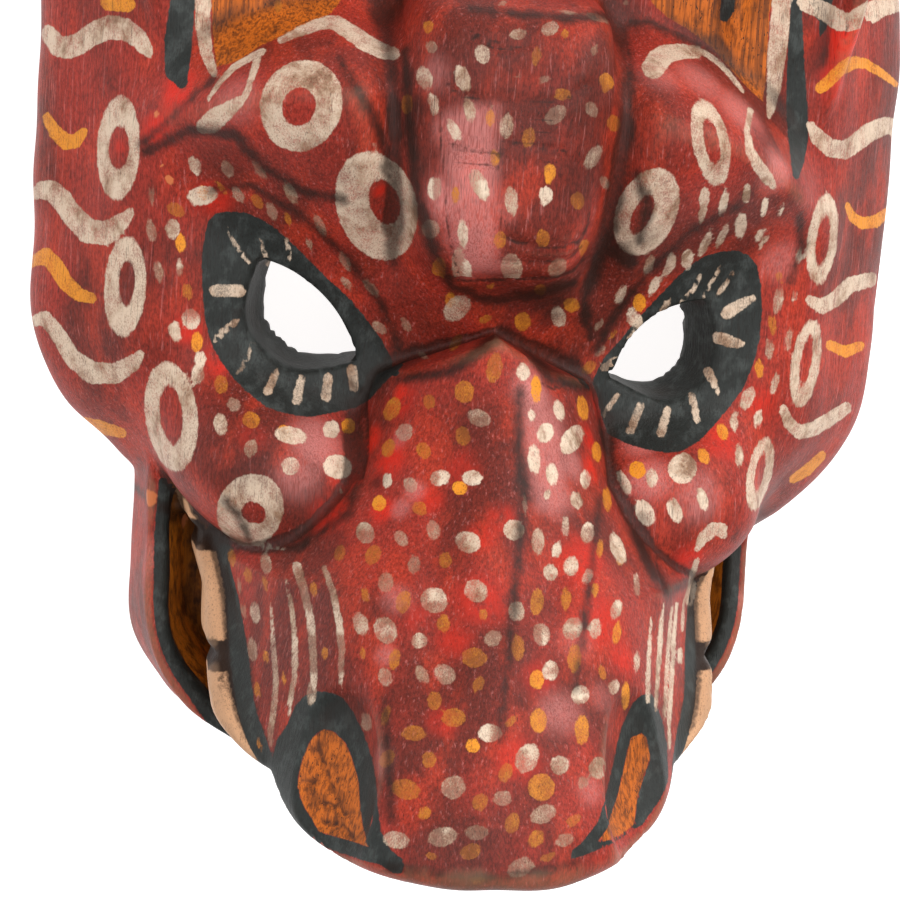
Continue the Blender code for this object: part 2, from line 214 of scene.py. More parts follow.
def earForm(a, y, z):
    s = earSize
    t = np.clip((y - s["root"][1]) / s["length"], -0.2, 1.2)
    axis = s["root"][0] + s["lean"] * t
    bow = 1.0 - np.abs((t - 0.5) / 0.5) ** 2.4
    leaf = np.abs(a - axis) - s["half"] * np.sign(bow) * np.abs(bow) ** 0.7
    face = 59.0 + 15.0 * ease(t * 1.3) - 15.0 * ease((t - 0.5) / 0.5)
    half = 0.5 * s["thick"]
    body = common(leaf * 0.9, (np.abs(z - face + half) - half) * 0.9, 4.0)
    scoop = ellipsoid(a - axis, y - s["root"][1] - 0.5 * s["length"], z - face - 1.0,
                      (s["half"] - 4.5, 0.5 * s["length"] - 9.0, s["scoop"] + 1.0), 2.0)
    return common(body, -scoop, 1.5)


def hollowForm(a, y, z):
    s = headSize
    edge = faceOutline(a, y)
    depth = joined(s["hollowZ"] + 0.0 * a,
                   s["panelEdgeZ"] - 17.0 - s["panelSlope"] * (edge + s["rimWall"] - 9.0), 14.0)
    face = common(edge + s["rimWall"] + s["rimTaper"], (z - depth) * 0.75, 9.0)
    crown = ellipsoid(a, y - 40.0, z - 28.0, (56.0, 40.0, 37.5), 2.4)
    nose = ellipsoid(a, y + 24.0, z - 38.0, (17.0, 24.0, 33.0), 2.2)
    mouth = common(jawOutline(a, y) + s["rimWall"] + s["rimTaper"],
                   z - jawSize["troughZ"] + s["rimWall"], 6.0)
    back = common(mouth, y + 20.0, 3.0)
    return joined(joined(face, crown, 8.0), joined(nose, back, 8.0), 8.0)


def eyeSlot(a, y, z):
    s = eyeSize
    rise = z - 56.0
    u, v = turned(a - s["holeOut"] * rise, y - s["holeDown"] * rise, s["holeCentre"], s["holeTurn"])
    reach = s["holeReach"] + 0.10 * rise
    wide = s["holeHalf"] + 0.10 * rise
    slot = np.where(v > 0.0, v - 0.35 * wide * (1.0 - np.abs(u / reach) ** 2.0),
                    -v - wide * (1.0 - np.abs(u / reach) ** 2.6))
    return common(slot * 0.8, 30.0 - z, 1.0)


def nostrilScoop(a, y, z):
    s = nostrilSize
    out = np.array(s["normal"]) / np.linalg.norm(s["normal"])
    along = np.array((-0.30, -1.0, 0.0))
    along = along - out * along.dot(out)
    along = along / np.linalg.norm(along)
    p = (a - s["centre"][0], y - s["centre"][1], z - s["centre"][2])
    u, v, w = (p[0] * d[0] + p[1] * d[1] + p[2] * d[2] for d in (np.cross(along, out), along, out))
    return ellipsoid(u, v, w, s["size"], 2.2)


def carvedWood(p):
    x, y, z = p[:, 0], p[:, 1], p[:, 2]
    hx, hy = skewed(x, y, headSize["skewAt"], headSize["skew"])
    ha = np.abs(hx)
    sx, sy = skewed(x, y, snoutSize["skewAt"], snoutSize["skew"])
    sa = np.abs(sx)
    body = joined(headForm(ha, hy, z), earForm(ha, hy, z), 2.0)
    body = joined(body, snoutForm(sa, sy, z), 1.6)
    body = joined(body, toothForm(sa, sy, z), 0.5)
    body = joined(body, jawForm(sa, sy, z), 3.0)
    body = common(body, -hollowForm(np.abs(x), y, z), 3.0)
    body = common(body, -eyeSlot(ha, hy, z), 1.2)
    return common(body, -nostrilScoop(sa, sy, z), 1.0)


def slopeOf(p, field, step=0.4):
    slope = np.empty_like(p)
    for k in range(3):
        move = np.zeros(3)
        move[k] = step
        slope[:, k] = (field(p + move) - field(p - move)) / (2.0 * step)
    return slope


maskSurface = dict(
    voxel=1.35, settle=5, triangles=194000,
    restHeight=0.35, rimSkin=1.3, stride=1.5, damping=0.9,
    hollowSkin=1.2, hollowFacing=0.3, hiddenFacing=-0.08, plainHeight=2.0, holeMargin=9.0,
)


def carveMask():
    bm = bmesh.new()
    bm.from_mesh(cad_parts["mask"].data)
    bmesh.ops.remove_doubles(bm, verts=bm.verts[:], dist=1e-6)
    mesh = bpy.data.meshes.new("carvedMask")
    bm.to_mesh(mesh)
    bm.free()
    mask = bpy.data.objects.new("carvedMask", mesh)
    scene.collection.objects.link(mask)
    fine = mask.modifiers.new("fine", "REMESH")
    fine.mode = "VOXEL"
    fine.voxel_size = maskSurface["voxel"] * unit
    fine.adaptivity = 0.0
    graph = bpy.context.evaluated_depsgraph_get()
    mask.data = bpy.data.meshes.new_from_object(mask.evaluated_get(graph))
    mask.modifiers.clear()
    return mask


def meshPoints(mesh):
    flat = np.empty(3 * len(mesh.vertices))
    mesh.vertices.foreach_get("co", flat)
    p = flat.reshape(-1, 3) / unit
    p[:, :2] += faceMiddle
    return p


def setPoints(mesh, p):
    q = p.copy()
    q[:, :2] -= faceMiddle
    mesh.vertices.foreach_set("co", (q * unit).ravel())
    mesh.update()


def settle(mesh, field):
    s = maskSurface
    p = meshPoints(mesh)
    resting = p[:, 2] < s["restHeight"]
    kept = resting & (field(p) < -s["rimSkin"])
    for turn in range(s["settle"]):
        slope = slopeOf(p, field)
        push = field(p) / np.maximum((slope ** 2).sum(1), 0.1)
        step = np.clip(push, -s["stride"], s["stride"])[:, None] * slope * s["damping"]
        step[resting, 2] = 0.0
        step[kept] = 0.0
        p -= step
        p[:, 2] = np.maximum(p[:, 2], 0.0)
        p[resting, 2] = 0.0
    setPoints(mesh, p)


mask = carveMask()
print("rough surface", len(mask.data.vertices))
settle(mask.data, carvedWood)


# The marks were placed along the photograph's view, so each one is measured across it.
brushView = dict(yaw=-9.0, pitch=10.0, roll=4.0)


def viewAxes(view):
    yaw = np.radians(view["yaw"])
    pitch = np.radians(view["pitch"])
    roll = np.radians(view["roll"])
    out = np.array((np.sin(yaw) * np.cos(pitch), np.sin(pitch), np.cos(yaw) * np.cos(pitch)))
    level = np.cross((0.0, 1.0, 0.0), out)
    level /= np.linalg.norm(level)
    right = np.cos(roll) * level + np.sin(roll) * np.cross(out, level)
    return np.stack((right, np.cross(out, right), out), 1)


# Only the hollow and what the front view never sees are thinned.
def thinBack(mask):
    s = maskSurface
    p = meshPoints(mask.data)
    depth = hollowForm(np.abs(p[:, 0]), p[:, 1], p[:, 2])
    hx, hy = skewed(p[:, 0], p[:, 1], headSize["skewAt"], headSize["skew"])
    facing = slopeOf(p, carvedWood)
    hollow = (np.abs(depth) < s["hollowSkin"]) & (facing[:, 2] < s["hollowFacing"])
    hidden = facing @ viewAxes(brushView)[:, 2] < s["hiddenFacing"]
    clear = (p[:, 2] > s["plainHeight"]) & (eyeSlot(np.abs(hx), hy, p[:, 2]) > s["holeMargin"])
    plain = np.nonzero((hollow | hidden) & clear)[0]
    group = mask.vertex_groups.new(name="plainBack")
    group.add(plain.tolist(), 1.0, "REPLACE")
    fewer = mask.modifiers.new("fewer", "DECIMATE")
    fewer.vertex_group = "plainBack"
    fewer.ratio = s["triangles"] / sum(len(f.vertices) - 2 for f in mask.data.polygons)
    fewer.use_collapse_triangulate = True
    graph = bpy.context.evaluated_depsgraph_get()
    mask.data = bpy.data.meshes.new_from_object(mask.evaluated_get(graph))
    mask.modifiers.clear()
    mask.vertex_groups.clear()
    print("surface brought to", len(mask.data.polygons), "triangles")


thinBack(mask)
# The numbers in the tables of marks below were worked out by another program, which laid points of the
# photograph on the carved form.
# 244 of the 305 dots were found in the photograph, with their size, turn, colour and strength taken from it.
# The other marks were given as points of the photograph.
# Dots: x, y, z, half length, half width, turn in degrees, strength of the paint from 0 to 9.
whiteDots = [
    (-3.9, 82.1, 90, 1.2, 0.7, 145, 2), (29.6, 81.3, 62, 0.7, 0.6, -144, 2),
    (10.8, 81, 92, 2, 0.5, -172, 2), (17.9, 80.2, 91, 3.3, 0.9, -169, 2),
    (6.4, 77.3, 95, 2.2, 1.6, 149, 4), (-1, 75.7, 96, 1.9, 1.3, 167, 4),
    (-20.3, 71.9, 95, 1.5, 1.2, 54, 2), (-8.8, 70.8, 97, 2.3, 1.7, 78, 5),
    (16.7, 73, 96, 1.4, 0.7, 118, 2), (-13.2, 65.3, 98, 3.1, 1.7, 72, 7),
    (-21.2, 64.7, 94, 2.6, 1.8, 67, 5), (-0.8, 66.7, 98, 1.1, 0.6, 167, 2),
    (5.4, 66.1, 98, 1.8, 0.8, 159, 2), (-19.7, 60.1, 95, 1.3, 0.7, 105, 6),
    (-11.1, 58.3, 98, 2.9, 1.2, 77, 6), (16.9, 59.8, 97, 1.8, 1.4, 63, 3),
    (8.6, 58.1, 98, 2.9, 1.8, 140, 2), (-6.4, 58.9, 98, 1.2, 0.6, 156, 4),
    (-2.4, 55.1, 98, 2.8, 1.6, 99, 4), (-14.1, 53.4, 97, 2.7, 1.2, 61, 7),
    (-30.7, 48, 89, 0.7, 0.6, -154, 2), (18.5, 48.8, 95, 3.1, 1.5, 123, 4),
    (-68.9, 38.7, 66, 2.2, 1.3, 66, 5), (-61.8, 38.8, 70, 2, 1.3, 63, 3), (-55, 39.6, 75, 2.4, 0.9, 54, 2),
    (-7.6, 41.4, 98, 3.8, 1.8, 63, 9), (22.9, 42.3, 88, 1.5, 1.2, 55, 3),
    (-47.6, 34.8, 76, 2.7, 1.2, 61, 5), (57.6, 40.5, 81, 2.4, 0.9, 92, 9),
    (-78, 30.7, 60, 2.4, 0.7, 86, 2), (-66.5, 31.4, 63, 3.6, 2.1, 170, 5),
    (-0.1, 38.1, 98, 3.3, 1.5, 85, 4), (-58.7, 32.7, 67, 2.1, 1.1, 57, 3),
    (52.4, 38.3, 81, 2.9, 1, 100, 8), (63.4, 37.2, 75, 2.2, 0.8, 98, 9),
    (47.7, 35.8, 81, 2.4, 0.9, 100, 6), (-50.7, 29.3, 68, 2, 1.1, 65, 4),
    (-32.4, 32.3, 82, 0.9, 0.5, 93, 2), (68, 36, 72, 1.3, 0.6, 108, 8), (-40, 27.3, 73, 2.6, 1, 64, 2),
    (-72.9, 23.3, 62, 2.4, 1.7, 96, 5), (-17.3, 30.3, 93, 2.1, 2, 55, 3),
    (-10.4, 30.1, 97, 3.5, 1.1, 87, 8), (-77.6, 22.4, 60, 2.6, 1.1, 80, 3),
    (54.6, 29.3, 72, 2.8, 0.9, 114, 6), (64.4, 29.7, 68, 1.9, 0.7, 127, 8),
    (50.7, 27.3, 72, 3.2, 1, 113, 7), (65.9, 27.6, 66, 2, 0.6, 127, 6), (-41.4, 21.9, 67, 1.6, 0.7, 73, 2),
    (75.6, 24.1, 62, 2.6, 0.7, 98, 8), (-33.2, 18.8, 69, 2.3, 1, 60, 2), (1.6, 22.8, 95, 3.1, 2.4, 78, 4),
    (-9.6, 21.5, 94, 3.1, 2.2, 73, 9), (37.6, 21.7, 73, 2.3, 1.1, 108, 5),
    (12.2, 23.3, 95, 2.4, 1.8, 137, 3), (-75.3, 12.9, 61, 2.6, 1.1, 73, 2),
    (42.8, 20.4, 69, 2.1, 0.8, 114, 4), (40.4, 16.1, 67, 2.4, 1.1, 115, 7),
    (-31.9, 12.9, 65, 2, 0.9, 51, 3), (-26.3, 12.4, 67, 2.6, 1, 49, 2), (32.4, 13.8, 68, 2.3, 1.1, 116, 5),
    (71.5, 13.3, 62, 3.3, 1.2, 97, 5), (75.6, 14.4, 61, 1.9, 0.6, 97, 8),
    (-7.1, 9.8, 75, 3.5, 2.5, 141, 5), (44, 10, 63, 3, 0.8, 116, 3), (17.5, 8.3, 71, 2.5, 1.7, 74, 2),
    (-67.3, 2.4, 62, 2.4, 2.1, 80, 6), (-17.4, 4, 66, 1.9, 1, 60, 2), (28.3, 5.9, 65, 1.6, 0.7, 123, 2),
    (-70.9, -0.7, 62, 2.5, 1.4, 77, 5), (-23.3, 2.6, 63, 1.9, 1.2, -138, 2), (75, 4.4, 61, 3, 0.8, 103, 8),
    (70.3, 1.7, 62, 2.5, 1, 91, 6), (29.9, -0.7, 62, 1.6, 0.8, 129, 5),
    (-12.8, -3.2, 64, 1.5, 0.7, -141, 2), (72.3, -6.5, 62, 2.8, 0.9, 103, 8),
    (66, -10.3, 62, 3.2, 1.5, 115, 7), (-56.9, -16.1, 69, 1.7, 1.5, 56, 3),
    (16.9, -11.6, 84, 2.4, 1.3, 79, 8), (-2.9, -12.8, 92, 2.7, 1.9, -155, 4),
    (9.5, -11.9, 90, 1.6, 0.8, 82, 9), (68.9, -15, 62, 2.2, 1, 98, 9), (62.8, -15.8, 64, 2.6, 1, 89, 7),
    (-59.9, -20.5, 71, 2.5, 1.6, 78, 6), (13, -15.9, 90, 2.4, 1.9, 115, 9),
    (-18.6, -18.4, 83, 2.1, 1.9, 123, 7), (20.3, -18.1, 85, 3.8, 2.3, 125, 9),
    (-43.9, -21.7, 75, 3.7, 2, -167, 6), (-53.1, -25, 76, 2.2, 1.5, 103, 3),
    (63.7, -23.2, 68, 2.7, 1, 91, 9), (10, -21.4, 95, 3.3, 1.5, 86, 8),
    (48.9, -25.6, 75, 3.7, 3.3, 118, 8), (-32.5, -28.6, 75, 3.3, 2.8, -166, 8),
    (-43.9, -28.3, 78, 2.1, 2.1, 88, 6), (14.7, -24.9, 93, 2.5, 1.4, 84, 9),
    (-11.3, -26.7, 94, 2.3, 1.8, 163, 2), (23.5, -26.8, 88, 2.1, 1.3, 92, 9),
    (35.3, -29.6, 75, 3.3, 1.2, 66, 8), (-17.8, -29, 92, 1.9, 1.5, 60, 3),
    (-31.6, -33.9, 77, 1.1, 0.4, 84, 4), (13.3, -29, 97, 1.2, 0.8, 109, 7),
    (53.8, -32.4, 77, 2.8, 1.2, 77, 9), (20.7, -30.6, 94, 2.1, 1.4, 73, 7),
    (7.5, -30.8, 101, 2.2, 0.5, 84, 5), (47.1, -35, 78, 3.1, 1.7, 67, 9), (40.1, -36, 78, 3.3, 2.1, 63, 9),
    (17.5, -35.8, 100, 2.5, 0.8, 91, 5), (4.7, -36, 105, 2.4, 2.3, -160, 7),
    (-13.1, -37.6, 101, 2.3, 1.5, 83, 2), (-27.7, -40.2, 94, 2.5, 2.1, 63, 5),
    (23.1, -37.3, 98, 2.4, 1.6, 99, 9), (10.6, -38.6, 104, 3, 1.5, 90, 5),
    (-20.4, -39.8, 101, 2, 1.3, 53, 2), (-5.8, -39, 106, 2.9, 2.4, -161, 6),
    (31.4, -41.8, 93, 3.8, 1.6, 71, 6), (15.3, -40.6, 103, 1.8, 1.1, 101, 8),
    (-48, -51.7, 77, 2.5, 1.3, 78, 6), (-17.8, -44.7, 106, 2.1, 1.4, 95, 2),
    (18.5, -43.8, 105, 2.3, 1.7, 92, 7), (13.5, -45.1, 107, 2, 1.6, 81, 7),
    (22.3, -45.9, 106, 1.9, 1.1, 117, 6), (-24, -49, 106, 2.2, 1.8, 99, 4),
    (35.7, -49.4, 97, 2.6, 0.7, 88, 3), (-53.1, -58.8, 71, 1.8, 0.6, 83, 4),
    (-4.2, -49, 112, 2.7, 2.5, -139, 5), (55.5, -57.5, 66, 2.9, 0.8, 104, 9),
    (-13.4, -51.7, 111, 3.1, 2.8, -152, 7), (29.3, -53.2, 107, 2.3, 1.3, 110, 9),
    (-52.3, -63.4, 75, 1.8, 0.7, 76, 2), (-50.2, -62.7, 80, 2.5, 1.2, 82, 5),
    (5.1, -52.9, 114, 2.3, 1.8, 78, 4), (-29.5, -58.2, 109, 2.6, 1.7, 75, 5),
    (-24.3, -58.6, 113, 3.1, 2.5, 61, 5), (18.3, -56.4, 114, 2.7, 2.2, 120, 8),
    (23.8, -56.6, 112, 2.3, 1.5, 99, 7), (11, -57.8, 115, 2.5, 1.9, 75, 7),
    (-0.5, -58.4, 118, 2, 1.7, 149, 2), (-16.9, -60.1, 116, 1.8, 1.8, -162, 5),
    (-50.6, -70.9, 83, 2.6, 1.2, 82, 6), (34.9, -65, 108, 2.3, 0.7, 95, 6),
    (-11.3, -66.5, 121, 2.5, 2.1, -136, 4), (-16.4, -66.9, 120, 2.2, 1.3, 57, 2),
    (-24.4, -68.3, 118, 2.1, 1.6, 72, 4), (28.4, -69.2, 116, 1.7, 1.3, 114, 7),
    (-39.2, -75.4, 106, 2.5, 1.1, 94, 2), (19.9, -70.1, 121, 2.2, 2, 137, 9),
    (-27.8, -79, 117, 2, 1.3, 84, 2), (7.1, -82.9, 130, 3.4, 2.5, 118, 6),
    (14.6, -84.3, 130, 2.2, 2.1, -136, 7), (24, -85.4, 127, 2.4, 2.1, 95, 5),
    (-9.6, -89.4, 133, 2.8, 2.5, 159, 4), (20.2, -88.2, 130, 1.4, 1.1, 94, 2),
    (1.3, -91.1, 135, 2.1, 1.7, 173, 4), (10.6, -94.2, 136, 3, 2, 157, 7),
    (-4.4, -98.3, 138, 2.6, 1.7, 180, 5), (-12.1, -99.5, 138, 3.2, 2.1, 170, 6),
    (-21.9, -101.3, 135, 2.9, 1.9, -175, 5), (15.7, -99.7, 137, 2.2, 1.4, 168, 4),
    (5.5, -105.5, 140, 3.1, 2, 149, 3), (-68.1, 30.6, 63, 1.6, 0.9, 90, 8),
    (-70.6, 14.3, 62, 2.3, 0.9, 90, 8), (-64.5, -7, 62, 1.9, 1.4, 90, 8),
    (-65, -10.4, 63, 2.3, 1.5, 90, 8), (-42.6, -21.9, 74, 1.9, 1.6, 90, 8),
    (-33.8, -20.9, 69, 2.1, 1.9, 90, 8), (-22.4, -29.1, 87, 1.8, 1.1, 90, 8),
    (-4.6, -25.7, 98, 2.3, 1.8, 0, 8), (41.6, -28, 76, 2.3, 1.4, 90, 8),
    (50.2, -25.2, 75, 2.8, 1.4, 90, 8), (30.6, -40.9, 93, 1.8, 1.2, 90, 8),
    (13, -65.2, 119, 2.3, 1.8, 90, 8), (-1.3, -77.9, 128, 2.7, 2, 0, 8), (36.1, 8.3, 64, 2.1, 1.2, 90, 8),
    (7, -82.8, 130, 2, 2, 0, 8), (7.5, -2.6, 86, 2.1, 1.6, 90, 9), (7.1, 39.2, 98, 1.8, 0.9, 90, 8),
    (6.9, -105.1, 140, 2, 0.9, 0, 2), (5.5, -105.6, 140, 2.2, 0.9, 0, 3),
    (-18.8, 58.7, 96, 2.2, 1.1, 90, 4), (-17.3, 39.9, 95, 2.5, 1.6, 90, 9), (7.7, 39.9, 98, 2, 1.6, 90, 4),
    (-10.8, 23.3, 95, 3.4, 1.4, 90, 9), (47.1, 39.4, 84, 2.5, 1.2, 90, 7),
    (47.2, 23.2, 70, 2.3, 1.4, 90, 8), (58.8, 31.9, 72, 2.8, 1.4, 90, 7),
    (43.2, 22.5, 71, 2.1, 1.2, 90, 6), (38, 6.8, 63, 1.9, 1.2, 90, 6),
]
yellowDots = [
    (-51.6, 76.4, 63, 1.9, 0.9, 98, 2), (3.4, 71.1, 97, 2.3, 1.1, 100, 2),
    (19.7, 64.3, 95, 0.9, 0.7, -157, 2), (-23.8, 57.7, 88, 2.2, 1.3, 89, 2),
    (23.7, 56, 89, 1.8, 1.7, 65, 2), (2.8, 52.7, 98, 2.4, 1.5, 102, 2), (-62.4, 33.8, 66, 2, 0.6, 47, 3),
    (-54.2, 31.4, 68, 1.9, 1.1, 53, 2), (-72.3, 27.7, 62, 2.2, 1.5, -148, 2),
    (-47, 27.9, 69, 1.8, 0.7, 72, 2), (-14.3, 20.8, 90, 2.7, 1.6, 93, 3),
    (71.3, 18.8, 62, 1.5, 0.9, 69, 2), (-1.5, 17, 86, 1, 0.7, 147, 2), (-68.6, 8.8, 62, 2, 1.2, 81, 2),
    (-0.3, 7.6, 75, 1.5, 0.9, 155, 2), (70.6, 7.5, 62, 2.5, 1, 84, 3), (32.2, 3.5, 63, 1.5, 0.6, 135, 3),
    (-5.8, 0.6, 68, 2.2, 1.1, 124, 2), (0.6, -1.9, 87, 3.5, 1.8, 100, 2),
    (68.2, -3.1, 62, 2.3, 1.1, 85, 5), (27.3, -4.8, 62, 2, 1.3, 136, 2),
    (-59.7, -12.1, 65, 2.3, 1.6, 86, 2), (-6, -7.7, 87, 2.6, 2.2, 86, 4),
    (-13.4, -11, 83, 1.7, 1.4, 79, 2), (24.1, -12.3, 75, 2.8, 1.4, 81, 6),
    (-20.7, -14.5, 75, 2.8, 1.8, 115, 3), (-53.1, -18.8, 73, 2.1, 1.9, -137, 3),
    (59.7, -18, 66, 2.2, 1.3, 71, 6), (-6.4, -17.1, 92, 2.2, 1.7, 78, 2),
    (-21.8, -22.6, 81, 2.2, 1.5, 110, 3), (-14.8, -21.4, 89, 2, 1.6, 57, 3),
    (28, -22.3, 76, 2.3, 1.2, 86, 6), (54.2, -22.8, 73, 2, 1.3, 69, 6), (30.1, -32.3, 82, 2.7, 1.1, 87, 5),
    (-16, -33.4, 97, 1.8, 1.5, -140, 2), (26.1, -40.7, 99, 2, 0.8, 98, 5),
    (-33.1, -45.3, 93, 1.8, 1.3, 98, 2), (-26.4, -44, 100, 2.3, 1.7, 118, 2),
    (-54.6, -53.2, 64, 2, 1, 76, 3), (-10.7, -43.4, 106, 1.8, 1.5, 86, 2),
    (-51.7, -55.3, 74, 1.9, 1, 77, 2), (-48.4, -55.7, 81, 1.8, 0.7, 78, 2),
    (-39, -53.4, 96, 1.7, 0.9, 79, 3), (24.1, -48.7, 107, 1.7, 0.9, 96, 5),
    (-28.4, -52, 106, 1.7, 0.9, 76, 2), (16.9, -50.4, 110, 2.6, 1.2, 95, 3),
    (-20.4, -52.3, 111, 2.6, 1.7, 103, 2), (10, -51, 112, 3, 1.5, 93, 5),
    (-2.6, -53.8, 115, 1.5, 0.9, 90, 2), (-11.4, -56.3, 114, 2.1, 1.5, 87, 2),
    (29.5, -58.1, 109, 2.5, 1, 99, 5), (5.1, -60.1, 119, 2.9, 1.5, 90, 2),
    (18.6, -62.6, 117, 3.3, 1.5, 91, 4), (-36.6, -66.2, 105, 1.4, 0.8, 88, 2),
    (-28.9, -64.3, 112, 1.4, 0.7, 79, 2), (-22.4, -64.3, 117, 2.3, 1.3, 102, 2),
    (-4.8, -62.6, 120, 2.9, 2.2, -176, 2), (-48.1, -71.2, 89, 1.7, 0.7, 78, 4),
    (25.5, -65.9, 116, 1.6, 0.8, 75, 4), (-44.6, -74.3, 97, 1.3, 0.5, 81, 4),
    (-3.9, -68, 123, 2, 1.2, 111, 2), (32, -72, 112, 3.1, 1, 92, 6), (-49.5, -79, 89, 2, 0.8, 78, 3),
    (-13.6, -72.1, 123, 2.1, 1.6, 96, 2), (-24.2, -76.1, 122, 2.3, 0.9, 104, 2),
    (-9.5, -75.1, 126, 2.7, 2.1, 177, 2), (9.8, -75.2, 126, 2.7, 1.9, 87, 5),
    (3.4, -75.3, 127, 1.8, 0.8, 142, 2), (20, -77.2, 125, 3.4, 1.6, 89, 5),
    (-18.2, -79, 126, 2.8, 1.7, 180, 2), (-49.1, -90.1, 96, 1.5, 0.6, 78, 2),
    (-23.9, -85, 126, 2.2, 1.5, 124, 2), (-15, -84, 130, 1.9, 1.6, 97, 2),
    (2.1, -85.9, 132, 2.2, 1.5, 108, 2), (10.3, -88.8, 133, 3, 3, -137, 4),
    (-20, -90.7, 131, 3.3, 2.2, -167, 2), (-3.7, -92.1, 135, 2.1, 1.7, 125, 2),
    (-16, -95, 135, 1.6, 1.3, 131, 2), (3.6, -96.2, 137, 2.4, 1.6, 105, 2),
    (17.6, -95.8, 135, 2.1, 1.1, 147, 2), (9, -99.3, 138, 2.2, 1.6, 131, 3),
    (-5.7, -102.4, 139, 2.4, 1.7, 157, 2), (11.9, -103.2, 139, 2, 0.9, 160, 2),
    (-14.2, -103.9, 138, 1.5, 0.8, -169, 2), (1.1, -103.1, 139, 0.8, 0.6, 145, 2),
    (-66.4, 31.9, 63, 1.8, 1.2, 90, 8), (-70.7, 20.1, 62, 2.3, 1.2, 90, 8),
    (-65.6, -2.9, 62, 2.3, 1.4, 90, 8), (-45.4, -21.3, 74, 1.9, 1.6, 90, 8),
    (-29.4, -20.5, 66, 1.9, 1.6, 90, 8), (-24.4, -33.9, 90, 1.8, 1.6, 90, 8),
    (-7.2, -28.1, 98, 1.8, 1.6, 0, 8), (38.4, -26.6, 74, 2.1, 1.9, 90, 8), (48, -25.7, 75, 2.1, 1.9, 0, 8),
    (32, -43.2, 94, 2.1, 1.2, 90, 8), (9.6, -66.9, 121, 2.2, 1.6, 90, 8),
    (-5.2, -80.7, 129, 1.6, 1.6, 0, 8), (37.7, 11.6, 65, 2.1, 1.4, 90, 8),
    (10.8, -6.4, 86, 3.2, 1.2, 90, 8), (7.9, 44.5, 98, 2.3, 0.9, 90, 8),
    (-3.8, -108.5, 141, 2.2, 0.9, 0, 2), (-21, 76.3, 93, 1.6, 1.1, 90, 3),
    (9.7, 76.5, 96, 1.1, 0.9, 90, 4), (20.3, 66.3, 95, 1.8, 1.8, 0, 4), (9.9, 62.9, 98, 2, 1.4, 0, 2),
    (-6.3, 56.7, 98, 2, 1.1, 90, 4), (-4.5, 47.7, 98, 2, 1.1, 90, 3), (8.3, 45.2, 98, 2, 1.4, 90, 6),
    (-12.7, 38.8, 97, 2, 0.9, 90, 3), (15.3, 39, 97, 2, 1.6, 90, 2), (7.8, 30.1, 98, 2, 1.6, 90, 2),
    (-1.9, 29.1, 97, 2, 1.4, 90, 3), (18.9, 27.5, 92, 2.1, 1.6, 90, 3), (10.8, 16, 82, 1.4, 1.2, 0, 2),
    (8.8, 7.1, 73, 2.1, 1.9, 90, 4), (20.3, 11.4, 72, 1.9, 1.6, 0, 5), (-9, 11.8, 76, 1.8, 1.2, 90, 4),
    (37.5, 11.6, 65, 2.1, 1.4, 90, 7),
]
# Rings: x, y, z, outer half sizes, inner half sizes, shift of the inner oval, turn in degrees.
ringMarks = [
    (-85.9, 40.6, 55, 5.3, 12, 2.5, 5.1, 0.2, 0, -3), (-82.6, 8.4, 56, 5.1, 11.6, 2, 5.4, 0.5, 0.9, -4),
    (-70.5, -21, 61, 6.5, 12.8, 2.8, 7, 0, 0.5, 6), (-52.4, -39.6, 76, 7.6, 8.8, 3, 2.5, 0.9, -0.5, -30),
    (-48.2, 56.7, 90, 9.2, 10.4, 3.8, 4.3, -0.5, -0.5, -20),
    (-28.4, 33.5, 82, 9.1, 12.1, 3.4, 5, 1.8, 0.9, 18), (46.3, 53.3, 90, 4.3, 10, 1.8, 5.5, 0.2, -0.2, 12),
    (81.5, 28.3, 60, 3.9, 10.6, 1.7, 5.9, 0, -0.5, -6), (80.2, -1.8, 59, 3.7, 10.5, 1.4, 6.2, 0, 0.5, -9),
    (70.2, -28.3, 63, 3.3, 8.8, 1.2, 4.8, 0, 0.5, -12),
    (33.7, 35.7, 85, 6.9, 10.1, 2.1, 5, -1.1, -0.7, -24),
]
